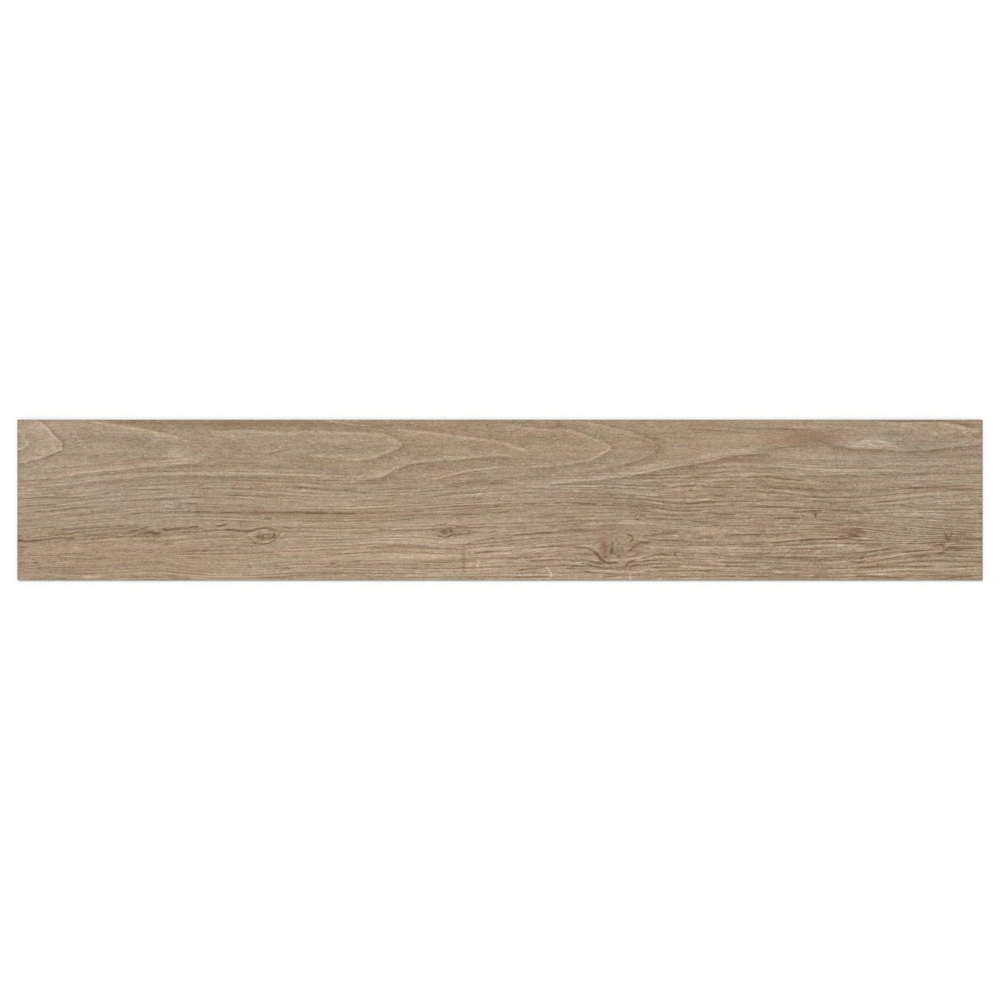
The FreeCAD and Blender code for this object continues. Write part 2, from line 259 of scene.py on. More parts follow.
# Dark grain lines: darkness, width, course
DARK_LINES = [
    # Left end, from the cathedral down
    (0.30, 1.6, [(100, 492), (112, 491), (130, 489.5), (160, 489.7), (190, 490), (215, 489), (245, 488.5),
                 (285, 488.5)]),
    (0.30, 2.6, [(32, 497.5), (50, 497.5), (65, 498), (80, 498), (95, 497), (106, 494)]),
    (0.45, 1.5, [(17, 506.5), (30, 506), (45, 505), (60, 505)]),
    (0.55, 1.4, [(28, 512), (40, 511.5), (50, 511), (60, 510), (70, 508.5), (80, 507.5), (90, 506.5),
                 (100, 504.5)]),
    (0.32, 1.4, [(98, 505), (108, 503.5), (118, 501.5), (130, 500.5), (160, 500), (180, 498), (195, 497),
                 (215, 497)]),
    (0.42, 1.4, [(28, 519), (50, 516.5), (60, 515.5), (72, 514.8), (85, 514), (95, 512.5), (105, 511.8),
                 (115, 510.5), (132, 508.5)]),
    (0.40, 1.3, [(126, 514.8), (140, 512.5), (150, 511.5), (160, 511)]),
    (0.38, 1.1, [(166, 509.6), (182, 509)]),
    (0.40, 1.3, [(180, 487.4), (194, 486.6), (207, 486)]),
    (0.46, 1.2, [(157, 498.9), (168, 498.8), (178, 498.4)]),
    (0.45, 1.2, [(175, 506.6), (181, 506.2)]),
    (0.30, 1.2, [(186, 504), (200, 502.5)]),
    (0.28, 1.6, [(58, 529.5), (75, 529), (87, 528.5)]),
    (0.42, 1.3, [(85, 528.5), (95, 527.5), (112, 527), (120, 526), (132, 526.5), (142, 526)]),
    (0.26, 2.0, [(28, 526), (45, 527), (60, 528)]),
    (0.50, 1.6, [(54, 534.5), (62, 533.5), (70, 534), (75, 532.5), (83, 531.5)]),
    (0.55, 1.5, [(87, 535.5), (95, 535), (103, 535.5), (112, 535.5), (120, 537), (128, 536.8)]),
    (0.62, 1.3, [(126, 531.6), (132, 530.6), (136, 530.2), (139, 530.2), (141, 528.6), (144, 529),
                 (147, 527.2), (150, 528)]),
    (0.55, 1.5, [(133, 535.2), (142, 534.5), (149, 533.5)]),
    (1.25, 2.6, [(146, 533), (149.5, 532.4), (153, 532.8), (156.5, 533.6), (159.5, 532.8), (162, 531.4)]),
    (0.70, 1.3, [(139, 533.6), (143, 533.2), (148, 532.8)]),
    (0.92, 1.9, [(10, 540.4), (18, 540.4), (24, 541.2), (30, 541), (35, 540.4), (40, 540.6)]),
    (0.62, 1.7, [(32, 540.4), (40, 540.4), (44, 539.4), (48, 538.6), (54, 538.2), (60, 537.6), (68, 538)]),
    (0.80, 1.9, [(64, 539.4), (68, 538.4), (71, 539), (74, 538)]),
    (0.60, 1.8, [(16, 535), (19, 536.5)]),
    (0.60, 1.8, [(16, 546), (22, 547), (29, 547)]),
    (0.35, 1.6, [(16, 552), (23, 552.5)]),
    (0.75, 1.6, [(33, 562.5), (37, 562.7)]),
    (0.40, 1.3, [(16, 563), (27, 562.5)]),
    (0.48, 1.3, [(45, 562), (57, 562)]),
    (0.30, 1.3, [(55, 558), (70, 558), (80, 558), (90, 559), (106, 559.5)]),
    (0.42, 1.3, [(58, 553.6), (72, 553.8), (84, 554.8), (96, 557)]),
    (0.46, 1.3, [(94, 557.8), (112, 558.2)]),
    (0.40, 1.5, [(156, 543.6), (166, 544), (176, 543.6)]),
    (0.40, 1.3, [(184, 550.8), (199, 550.6)]),
    (0.48, 1.2, [(134, 561.5), (145, 561.5), (155, 561.7), (166, 562.4)]),
    (0.30, 1.4, [(20, 569), (60, 568), (82, 568)]),
    (0.26, 2.4, [(56, 573), (80, 573.5), (100, 573)]),
    (0.40, 1.6, [(28, 578.6), (50, 578), (74, 578.6)]),
    (0.40, 1.5, [(158, 575.2), (170, 576), (182, 577.2), (194, 578.2)]),
    (0.36, 1.3, [(184, 557), (201, 556.8)]),
    # Under the second arch, to the first knot
    (0.24, 4.0, [(150, 468.5), (170, 468), (185, 466.5), (200, 465.5), (215, 465), (230, 464.5),
                 (245, 464.5), (258, 465.5), (275, 466.5), (296, 468)]),
    (0.36, 1.6, [(258, 458), (268, 454.8), (274, 453), (282, 450.5), (292, 449.5)]),
    (0.36, 1.3, [(218, 495.5), (240, 495.5), (262, 496), (288, 496)]),
    (0.24, 1.3, [(205, 507), (228, 507)]),
    (0.46, 1.5, [(172, 514), (190, 512.8), (205, 512.2), (215, 513), (230, 512.5), (250, 512.5)]),
    (0.62, 1.6, [(243, 512.5), (262, 512.5), (275, 512.5), (298, 512.6)]),
    (0.78, 1.6, [(263.5, 518), (268, 518.5), (272.5, 518)]),
    (0.62, 1.3, [(237, 522.6), (242, 522), (247, 521.6)]),
    (0.90, 1.7, [(215.5, 525), (219, 526), (222, 525.5), (225, 524.6), (228.5, 524.5)]),
    (0.85, 1.6, [(158, 528.8), (163, 529), (168, 529.6), (173, 529.3), (178, 528.6), (184, 528.3)]),
    (0.78, 1.4, [(180, 528.4), (188, 528.2), (191, 527), (195, 526.7), (201, 526.8)]),
    (0.55, 1.4, [(174, 532.6), (185, 532), (195, 532), (205, 531), (215, 530.5), (228, 530)]),
    (0.85, 1.9, [(222, 530), (232, 530), (240, 531), (248, 531.4), (254, 530.3)]),
    (0.85, 1.6, [(242, 530.4), (248, 530.8), (252, 530.4), (256, 529.2), (260, 528.5), (265, 528),
                 (270, 528.6), (274, 529.6), (280, 530.6)]),
    (0.80, 1.5, [(256.5, 543.4), (260, 544.1), (263, 544.3), (266, 543.6), (269.5, 542.6), (273, 541.2),
                 (277, 539.4)]),
    (0.60, 1.4, [(247.5, 536), (250, 539), (252.6, 541.6), (255.6, 543.4)]),
    (0.85, 1.5, [(260.5, 535.4), (264, 534.7), (268, 534.6), (273, 534.4)]),
    (0.70, 1.4, [(261, 538.8), (265, 538.4), (269, 538.8), (273.6, 538.4)]),
    (0.50, 1.5, [(273, 535), (276, 535), (280, 534.6)]),
    (0.55, 1.2, [(281, 527.4), (286, 527.6), (290.7, 528.4)]),
    (0.32, 1.5, [(218, 540.5), (235, 540), (252, 539.5)]),
    (0.30, 1.3, [(222, 536), (235, 535.4)]),
    (0.62, 1.4, [(200, 551.2), (203, 550.8), (207, 550.3)]),
    (0.30, 1.3, [(188, 558), (203, 558)]),
    (0.25, 1.3, [(262, 554), (282, 555)]),
    (0.40, 1.3, [(278, 569), (292, 568.5)]),
    (0.48, 1.5, [(258, 577.8), (280, 578), (300, 579)]),
    (0.28, 1.2, [(272, 566), (288, 567)]),
    # Between the first two knots
    (0.50, 1.5, [(290, 487), (305, 488), (312, 488.5), (330, 490), (345, 490.8), (356, 491.8), (368, 492.2),
                 (382, 491.4)]),
    (0.42, 1.3, [(360, 501), (380, 501), (390, 501), (402, 500)]),
    (0.84, 2.4, [(284, 512.8), (300, 512.6), (315, 513), (332, 513)]),
    (0.60, 2.2, [(328, 513), (340, 513.2), (352, 513.4), (358, 512.6)]),
    (0.38, 1.6, [(354, 512.4), (370, 512), (380, 511.6), (400, 511), (410, 510), (420, 510), (430, 508.8),
                 (446, 508)]),
    (0.46, 1.5, [(290, 520.5), (315, 521), (330, 520.5), (345, 521.5), (360, 521), (375, 521), (392, 520.5),
                 (400, 520), (410, 518.8), (418, 518), (425, 517), (434, 516)]),
    (0.45, 1.3, [(377, 529.5), (386, 529.4)]),
    (0.36, 1.4, [(318, 550), (330, 549), (340, 549.5), (346, 550)]),
    (0.42, 1.3, [(326, 554.6), (337, 554.5), (345, 554), (355, 553), (365, 552.5), (374, 551.5)]),
    (0.46, 1.5, [(364, 547.2), (375, 547.5), (382, 547), (390, 546), (400, 545.5), (410, 546), (420, 546.5),
                 (430, 547.5), (446, 549)]),
    (0.38, 1.3, [(412, 552), (425, 552.5), (432, 553), (446, 554)]),
    (0.42, 1.3, [(341, 562), (352, 562), (362, 561)]),
    (0.52, 1.3, [(379, 564), (392, 564.2)]),
    (0.46, 1.3, [(422, 565), (446, 565)]),
    (0.44, 1.3, [(418, 562), (434, 562.2), (450, 562.8)]),
    (0.40, 1.4, [(438, 578.8), (460, 578.4), (484, 578.6)]),
    (0.42, 1.3, [(290, 557.3), (303, 556)]),
    (0.42, 1.3, [(308, 569.3), (317, 569.3)]),
    (0.46, 1.5, [(318, 572.8), (330, 574.5), (342, 573.5)]),
    (0.30, 1.3, [(346, 576.4), (362, 574.8), (370, 576), (388, 578)]),
    (0.36, 1.3, [(364, 479.4), (376, 478.8), (388, 479)]),
    (0.38, 1.3, [(400, 497.8), (412, 496), (424, 495), (434, 494.6)]),
    (0.26, 1.2, [(376, 491), (392, 488.6), (410, 487)]),
    (0.26, 1.2, [(380, 497), (396, 494.6), (414, 490)]),
    (0.30, 1.2, [(336, 449), (352, 449)]),
    # Between the second and the big knot
    (0.32, 1.3, [(426, 481.8), (446, 477.8), (465, 473.4), (480, 471), (500, 469), (514, 468.4)]),
    (0.38, 4.2, [(440, 486.4), (458, 485), (468, 482.6), (478, 481.8), (495, 482.6), (516, 481)]),
    (0.42, 1.4, [(430, 495.2), (440, 495), (450, 493.5), (475, 492.5), (490, 492), (508, 491), (530, 490)]),
    (0.42, 1.3, [(464, 498), (472, 498), (482, 498.5)]),
    (0.44, 1.5, [(440, 508.2), (448, 507), (460, 506.5), (470, 507), (478, 506.5), (485, 505.5),
                 (500, 505.5), (508, 504.5), (514, 503.8)]),
    (0.42, 1.4, [(448, 515.6), (460, 514.8), (470, 514.5), (480, 514.5), (489, 516)]),
    (0.52, 1.4, [(491, 513.2), (498, 512.8), (505, 512), (512, 510.8)]),
    (0.90, 1.5, [(434, 534), (438, 535.2), (441, 536.6), (444.5, 537.3), (447.8, 536.7), (450, 535.4),
                 (452.4, 534.9), (456, 535)]),
    (0.40, 1.3, [(431, 534.8), (435, 535)]),
    (0.42, 4.4, [(448, 535), (456, 534.8), (461, 534.2), (466, 533.4), (470, 532.8), (474, 532.4)]),
    (0.34, 1.4, [(466, 532.6), (472, 532.2), (480, 531.6)]),
    (0.82, 1.9, [(454, 526.6), (459, 527), (464, 527.7), (469, 527.8)]),
    (0.66, 1.5, [(465, 527.8), (475, 527.3), (485, 526.9), (502, 526.4)]),
    (0.50, 1.3, [(439, 524.8), (443, 524.4), (448, 523.6)]),
    (0.55, 1.4, [(455, 517.9), (458, 518.3), (461, 519.4), (464, 520.2)]),
    (0.60, 1.4, [(478, 540.8), (484, 540), (490, 538.8), (497, 537.6)]),
    (0.56, 1.6, [(463, 545.4), (470, 543.5), (475, 541.6), (485, 540), (490, 538.5), (496, 537.4)]),
    (0.46, 1.5, [(494, 538), (506, 538), (513, 537)]),
    (0.56, 1.6, [(510, 537.2), (518, 535.2), (530, 534.3), (538, 533), (545, 532.5), (556, 532.4)]),
    (0.42, 1.8, [(554, 532), (562, 530.8), (575, 530), (590, 529.2)]),
    (0.52, 1.5, [(476, 547.6), (490, 546), (500, 545), (508, 543.5), (515, 543), (522, 541.5), (530, 541.5),
                 (538, 540.5), (545, 540), (560, 538.6), (575, 538), (588, 538)]),
    (0.52, 1.4, [(434, 549), (450, 549.5), (456, 549.5), (469, 550)]),
    (0.56, 1.5, [(466, 556), (478, 553), (485, 552), (492, 551.5), (510, 551), (517, 550.5), (525, 549)]),
    (0.46, 1.5, [(526, 549.4), (540, 547.5), (555, 546.5), (565, 547), (578, 547.6)]),
    (0.56, 1.4, [(498, 560.2), (508, 559), (515, 558.5), (530, 557.5), (548, 556.5), (560, 556.5),
                 (575, 556.5), (586, 557.8)]),
    (0.46, 1.3, [(528, 561.2), (540, 560.5), (558, 559.6)]),
    (0.52, 1.4, [(512, 572.4), (520, 570.5), (530, 568.5), (540, 568), (550, 567)]),
    (0.62, 1.4, [(511, 578), (520, 577), (535, 576.5), (552, 576)]),
    (0.36, 1.4, [(526, 468.6), (540, 468.5), (562, 468)]),
    (0.36, 1.4, [(528, 489.6), (545, 489), (560, 489), (578, 489.6)]),
    (0.52, 1.4, [(524, 504), (530, 504), (537, 503.8)]),
    (0.42, 1.2, [(539, 504.2), (546, 504)]),
    (0.72, 1.6, [(554, 503.2), (559, 503)]),
    (0.78, 1.7, [(566, 502.5), (575, 503.5), (590, 503.8), (601, 504)]),
    (0.40, 2.0, [(563, 517), (577, 519)]),
    (0.36, 1.3, [(542, 515.8), (556, 515.4)]),
    (0.62, 1.6, [(572, 560), (575, 563.4)]),
    (0.62, 1.6, [(579, 561), (584, 564.4)]),
    (0.34, 1.3, [(463.8, 543), (463.2, 556), (463.6, 566), (464.4, 577)]),
    # Round the big knot
    (0.30, 1.2, [(574, 521), (600, 520.5), (622, 520)]),
    (0.36, 1.2, [(598, 526.4), (612, 525.5), (619, 526)]),
    (0.95, 2.0, [(570, 546.6), (578, 547.6), (585, 548), (590, 548.8), (593, 551.2), (595, 552.4),
                 (598, 555)]),
    (1.15, 2.5, [(593, 551.2), (596.5, 553.6), (599, 556.4), (601, 559), (604, 561), (607.5, 562.4)]),
    (1.05, 2.1, [(604.5, 562.4), (609, 563), (613, 562.7), (618.5, 562)]),
    (1.00, 1.5, [(593.6, 562.2), (598, 563), (601.5, 563.8), (605, 564.6)]),
    (0.72, 2.3, [(625.6, 551.4), (629, 550.8), (632, 549), (634.6, 546), (637, 544.4), (641, 543),
                 (652, 542)]),
    (0.80, 1.6, [(626, 534.6), (630, 535.2), (632.4, 537.2), (632.2, 539.4), (630.6, 541.6),
                 (629.6, 544.6)]),
    (0.95, 1.6, [(638.6, 515.2), (642, 514.8), (648, 515.2)]),
    (0.55, 1.5, [(635.4, 517.6), (635.6, 515.4), (638, 514.2), (640.6, 515.2)]),
    (0.60, 1.6, [(640, 558.6), (644, 557.8), (650, 557)]),
    (0.46, 1.2, [(642.6, 519.6), (646.6, 522.4), (648.8, 526), (648.6, 530)]),
    (0.50, 1.3, [(646, 549.4), (650, 549)]),
    (0.45, 1.3, [(574, 556), (580, 556.6), (588, 556)]),
    (0.50, 1.4, [(584, 552.6), (590, 554.4), (594, 557.4)]),
    (0.55, 1.3, [(650, 536.2), (657, 534.6), (668.4, 534.1), (674, 533)]),
    (0.50, 1.3, [(649, 539.6), (661.8, 540), (676, 540.4)]),
    (0.65, 1.4, [(641, 558.6), (649, 556.8), (655, 555.5), (662, 555), (672, 555.4)]),
    (0.60, 1.4, [(638, 562.2), (648, 560.9), (657, 559.5), (668, 559.6)]),
    (0.60, 1.6, [(629, 567.4), (634, 565.6), (640, 564.2)]),
    (0.90, 1.4, [(583, 561.6), (587, 563.4), (591, 565.6), (596, 567), (604, 567.9), (612, 568.2),
                 (620, 568), (625.4, 567.4), (628.4, 564.6)]),
    (0.66, 1.3, [(578, 569.6), (586, 571.4), (594, 573.2), (606, 573.6), (617, 574.2), (625, 572.2)]),
    (0.60, 1.2, [(570, 567.6), (577, 566.2), (585, 566.8), (592, 569.6)]),
    (0.45, 1.2, [(608, 536), (612, 533.6), (618, 534.6)]),
    (0.80, 1.3, [(587, 560.6), (591, 562), (595, 563), (602, 564.4)]),
    (0.72, 1.9, [(619.6, 568.4), (624, 568), (626, 566.6), (627.4, 563.6), (631, 561.8), (637, 560.6)]),
    (0.62, 1.5, [(646, 557.2), (655, 555), (665, 554.2), (674, 554.6)]),
    (0.44, 2.0, [(640, 536.4), (650, 535.6), (660, 534.5), (670, 533.4), (681, 531.6)]),
    (0.50, 1.5, [(648, 541), (660, 540.4), (680, 540), (690, 539.3), (700, 538), (710, 537.2),
                 (722, 536.6)]),
    (0.36, 1.3, [(628, 557), (640, 553), (655, 551), (664, 549.6)]),
    (0.95, 1.6, [(673.4, 550), (675, 553), (675.8, 558)]),
    (0.70, 1.3, [(678, 551), (676, 554)]),
    (0.55, 1.4, [(598, 573.8), (612, 574), (626, 573.6)]),
    (0.45, 1.3, [(600, 576.8), (622, 576.4)]),
    (0.55, 1.3, [(566, 568), (575, 568.8)]),
    (0.58, 1.3, [(638, 572.6), (650, 571.4), (664, 571), (684, 571.2), (722, 571)]),
    (0.55, 1.3, [(646, 567.8), (664, 567), (684, 567.2)]),
    (0.42, 1.4, [(646, 577), (672, 576.6), (700, 577), (722, 576.6)]),
    (0.50, 1.4, [(668, 559), (690, 558.6), (722, 559.6)]),
    (0.45, 1.3, [(640, 565.8), (650, 563.4), (664, 563)]),
    (0.52, 1.4, [(680, 554.2), (700, 553.8), (722, 554.4)]),
    (0.40, 1.3, [(655, 545.8), (690, 545.4), (714, 545)]),
    # Above and right of the big knot
    (0.40, 1.3, [(572, 489.6), (590, 490), (600, 489.5), (610, 488.5), (618, 487), (630, 485.5),
                 (641, 484.5)]),
    (0.30, 1.3, [(572, 492.6), (592, 492)]),
    (0.46, 1.3, [(602, 492.6), (612, 492.2), (624, 492.8)]),
    (0.48, 1.4, [(608, 495.2), (618, 494.8)]),
    (0.40, 1.3, [(654, 497), (663, 496.8)]),
    (0.30, 1.3, [(574, 498), (592, 497)]),
    (0.45, 1.4, [(600, 504.8), (612, 505), (624, 505)]),
    (0.72, 1.6, [(624, 505.8), (636, 506), (650, 506.5), (660, 508), (670, 510)]),
    (0.60, 1.4, [(668, 510), (680, 510.5), (702, 510.5)]),
    (0.50, 1.4, [(638, 509.5), (651, 510)]),
    (0.50, 1.4, [(643, 514.2), (660, 514.6), (680, 515), (700, 514.4)]),
    (0.72, 1.7, [(702, 513.2), (710, 512.6), (722, 514.2), (737, 514.6)]),
    (0.50, 1.4, [(640, 518.6), (660, 519), (680, 519.5), (700, 521.5), (712, 522)]),
    (0.36, 1.3, [(642, 483.4), (655, 481.4), (668, 480.4)]),
    (0.50, 1.5, [(648, 490.8), (660, 488.7), (670, 488), (681, 486.4)]),
    (0.68, 1.5, [(679, 486.4), (690, 485.8), (698, 485.5)]),
    (0.42, 1.3, [(698, 486.5), (726, 487.6)]),
    (0.58, 1.4, [(682, 503.8), (690, 503.8), (702, 502), (718, 502.2)]),
    (0.32, 1.3, [(684, 498), (702, 497.6), (716, 498.4)]),
    (0.42, 1.4, [(742, 488.6), (752, 488), (765, 488), (782, 488.6)]),
    (0.40, 1.3, [(786, 488.6), (801, 488.6)]),
    (0.42, 1.3, [(802, 489.2), (813, 489)]),
    (0.58, 1.4, [(808, 501.6), (818, 501.6), (828, 502.8), (839, 504.2)]),
    (0.44, 1.3, [(808, 497), (830, 497.2)]),
    (0.40, 1.3, [(720, 487.6), (736, 487.6)]),
    (0.40, 1.3, [(712, 495), (723, 496.2)]),
    (0.44, 1.3, [(733, 496), (745, 496.3), (757, 496.5)]),
    (0.46, 1.4, [(766, 496), (780, 496.5), (790, 497), (812, 497.5), (830, 498)]),
    (0.55, 1.4, [(730, 501.2), (740, 500.6), (752, 500.6)]),
    (0.44, 1.3, [(752, 500.5), (768, 500.5), (802, 500.8)]),
    (0.62, 1.4, [(748, 507), (760, 506.8), (768, 507), (780, 507), (792, 507.2)]),
    (0.42, 1.3, [(790, 508), (802, 508.2)]),
    (0.90, 1.5, [(790, 511.2), (800, 511.8), (808, 511.3), (812, 510.6), (820, 510.8), (824, 511.4)]),
    (0.40, 1.3, [(734, 512.5), (752, 512.5)]),
    (0.34, 1.3, [(712, 518.6), (740, 518), (762, 518.6)]),
    (0.72, 1.7, [(772, 518.5), (782, 518), (786, 517.4), (793, 518), (802, 518)]),
    (0.85, 1.6, [(828, 510.4), (838, 510.7), (850, 511.3), (858, 512.3), (866, 513.4)]),
    (0.42, 1.4, [(813, 519), (830, 521), (836, 523.4), (850, 522.6), (868, 522.6)]),
    (0.40, 1.3, [(813, 527.4), (825, 527), (836, 527.5)]),
    (0.60, 1.5, [(710, 524.6), (716, 525.2), (721, 525.4)]),
    (0.45, 1.5, [(720, 536.6), (740, 535.4), (750, 535), (766, 533)]),
    (0.52, 1.4, [(712, 544.6), (725, 545), (736, 544), (745, 543.5)]),
    (0.66, 1.5, [(740, 543.8), (756, 544.3), (764, 544)]),
    (0.50, 1.2, [(762.4, 543.6), (762, 547.4)]),
    (0.46, 1.5, [(768, 543), (776, 542.4), (790, 541.4), (800, 540.8)]),
    (0.66, 1.7, [(796, 541), (806, 540), (816, 539.4), (826, 539)]),
    (0.95, 1.9, [(823, 539), (829, 539.2), (834, 538.9), (841, 538.6)]),
    (1.00, 2.2, [(838.4, 536.8), (842, 537.2), (845, 538), (849.4, 538.4)]),
    (0.70, 1.6, [(846, 535), (850, 534.8), (856, 535.2)]),
    (0.50, 1.4, [(838, 529), (846, 529.4), (857, 529.4)]),
    (0.40, 1.6, [(838, 531), (846, 532.5), (854, 534), (862, 533)]),
    (0.80, 1.6, [(846, 537.6), (853, 537), (860, 536.4)]),
    (0.50, 1.3, [(855, 541.4), (862, 541), (871, 540.4)]),
    (0.50, 1.4, [(856, 546.8), (864, 546), (872, 545), (882, 544.2)]),
    (0.56, 1.4, [(784, 549), (800, 548.7), (806, 548.8), (815, 549), (832, 548.8)]),
    (0.48, 1.3, [(742, 554.5), (755, 554.6), (772, 554)]),
    (0.42, 1.3, [(712, 558.6), (735, 558), (760, 558.4), (780, 558.4), (809, 558)]),
    (0.34, 1.3, [(718, 562.5), (735, 562.5), (752, 562)]),
    (0.52, 1.3, [(806, 562.6), (816, 562), (832, 562)]),
    (0.52, 1.3, [(766, 569.2), (776, 568.5), (792, 568)]),
    (0.58, 1.3, [(765, 575.6), (775, 575), (788, 575), (804, 575.3)]),
    (0.58, 1.3, [(813, 575.5), (830, 575.5)]),
    (0.48, 1.3, [(712, 577.2), (725, 576.6), (737, 576.4)]),
    (0.40, 1.3, [(712, 571.6), (724, 571.5)]),
    (0.50, 1.3, [(830, 556.6), (845, 557.4)]),
    (0.66, 1.6, [(848, 561.4), (861, 562), (867, 560.8)]),
    (0.30, 1.4, [(738, 469), (760, 468.5), (790, 469), (806, 469)]),
    (0.24, 1.3, [(748, 461.2), (765, 460.5), (792, 460.2)]),
    (0.60, 2.6, [(668, 468.8), (680, 467.2), (692, 465.8), (704, 463.8), (712, 462), (718, 460.4),
                 (726, 458), (736, 456.2), (746, 455.4), (757, 454.6), (765, 453.8), (772, 452.4),
                 (776, 449.6)]),
    (0.34, 1.8, [(772, 449), (784, 447.4), (798, 446.4), (812, 446.8)]),
    # Top edge, middle and right
    (0.42, 1.4, [(684, 428.4), (700, 429.6), (720, 430.6), (742, 432.6), (752, 434)]),
    (0.40, 1.5, [(738, 428.2), (760, 428.6), (780, 429), (800, 429.5), (812, 429.5)]),
    (0.30, 1.6, [(652, 437.4), (668, 441)]),
    (0.45, 1.8, [(815, 440.2), (826, 442.6), (836, 445.4), (848, 447.4)]),
    # Right end
    (0.36, 2.0, [(942, 421.4), (952, 421.9), (961, 423.4), (970, 425), (979, 427.6)]),
    (0.55, 1.6, [(968, 431), (972, 433.4), (976, 436), (980, 437)]),
    (0.66, 1.7, [(886, 422.8), (896, 421.9), (912, 421.6), (928, 421.2), (944, 421.6)]),
    (0.46, 1.4, [(862, 467.6), (870, 468), (880, 468), (884, 466.3), (892, 465.6), (900, 466.5),
                 (910, 465.6)]),
    (0.40, 1.3, [(908, 466), (920, 467), (940, 466.5), (962, 466.5)]),
    (0.46, 1.5, [(858, 475.4), (880, 474.8), (900, 475), (920, 474.5), (940, 474), (960, 473.8), (975, 474),
                 (985, 473.4)]),
    (0.34, 1.3, [(916, 482), (932, 481.5), (946, 483.6)]),
    (0.48, 2.2, [(898, 489), (910, 488), (925, 488), (940, 488), (955, 489), (978, 488)]),
    (0.34, 2.4, [(862, 493.4), (880, 492), (895, 490.4)]),
    (0.40, 1.2, [(874, 498), (882, 498)]),
    (0.52, 1.3, [(918, 497.2), (930, 496), (936, 498), (944, 499)]),
    (0.38, 1.3, [(872, 502), (880, 501.5), (897, 501)]),
    (0.40, 1.3, [(926, 505), (938, 503.5)]),
    (0.46, 1.3, [(948, 503.6), (965, 502), (985, 502)]),
    (0.36, 1.3, [(898, 505), (912, 507), (922, 507)]),
    (0.42, 1.3, [(862, 510), (874, 509.5), (886, 510.6)]),
    (0.36, 1.3, [(882, 514.6), (897, 516.4)]),
    (0.46, 1.3, [(884, 521), (890, 522.6), (897, 524.2)]),
    (0.50, 1.3, [(872, 527), (886, 526.2)]),
    (0.92, 2.2, [(903.5, 528.4), (909, 528.6)]),
    (0.55, 1.3, [(909, 528.6), (913, 529)]),
    (0.50, 1.4, [(926, 532.4), (933, 532)]),
    (0.46, 1.5, [(914, 540), (921, 539.4)]),
    (0.70, 1.6, [(907, 543.6), (915, 543)]),
    (0.50, 1.5, [(918, 543.4), (930, 543), (935, 541.6), (941, 543)]),
    (0.62, 1.4, [(944.6, 531), (945.4, 534), (946.2, 538)]),
    (0.72, 1.6, [(953.4, 531.4), (951.6, 534.6), (949.4, 538.6)]),
    (0.55, 1.8, [(928, 542.4), (936, 542), (943, 541.4), (949, 541.6)]),
    (0.48, 2.2, [(931, 545.8), (938, 545), (944, 544.4), (947, 542.6)]),
    (0.40, 1.6, [(944.4, 543), (943.6, 547), (942.8, 551)]),
    (0.40, 2.0, [(950, 541), (955, 540.6), (961, 541)]),
    (0.50, 2.4, [(962, 538), (967, 538.4), (972, 539), (985, 539)]),
    (0.50, 2.0, [(958, 531), (962, 533.4), (967, 533.6)]),
    (0.40, 1.4, [(856, 547.4), (870, 546.8), (882, 546), (897, 544)]),
    (0.44, 1.4, [(860, 553.6), (870, 552), (880, 550.2), (890, 548.6), (898, 546.6)]),
    (0.62, 1.5, [(898, 552.6), (912, 551.7), (920, 551), (928, 550), (939, 547.6)]),
    (0.82, 1.6, [(910, 556.2), (918, 556), (923, 555.4), (929, 554.6)]),
    (0.80, 2.6, [(936, 553.6), (939.6, 553.4), (943, 553), (945.4, 551.6)]),
    (0.62, 3.0, [(934, 554.4), (940, 553.4), (944, 551.4), (947.6, 549), (951, 547.9), (956, 547.9),
                 (962, 548.8), (968, 549)]),
    (0.50, 2.0, [(952, 551), (956, 551.4), (961, 550.4)]),
    (0.62, 1.9, [(964, 549), (970, 547.8), (978, 548)]),
    (0.66, 1.6, [(859.5, 559), (863, 556.6)]),
    (0.44, 1.4, [(866, 559.4), (884, 559), (902, 556.6)]),
    (0.58, 1.5, [(852, 565.8), (864, 567.4), (880, 567), (890, 566.5), (908, 566)]),
    (0.58, 1.5, [(904, 566.2), (925, 566), (933, 566.8)]),
    (0.46, 1.6, [(928, 569.4), (950, 568.5), (965, 567), (978, 565.8)]),
    (0.36, 1.4, [(852, 570.4), (880, 570)]),
    (0.72, 1.5, [(850, 576.6), (865, 576), (875, 576.3), (885, 577), (895, 577.8), (907, 579.4)]),
    (0.50, 1.6, [(936, 579.2), (955, 577.5), (970, 576), (985, 574.8)]),
]

PALE_SIDE = 0.27  # paleness of the wood above a dark line, as a share of the line's darkness
PALE_SIDE_OFF = 1.2  # from a dark line's edge to the middle of its pale side, in pixels

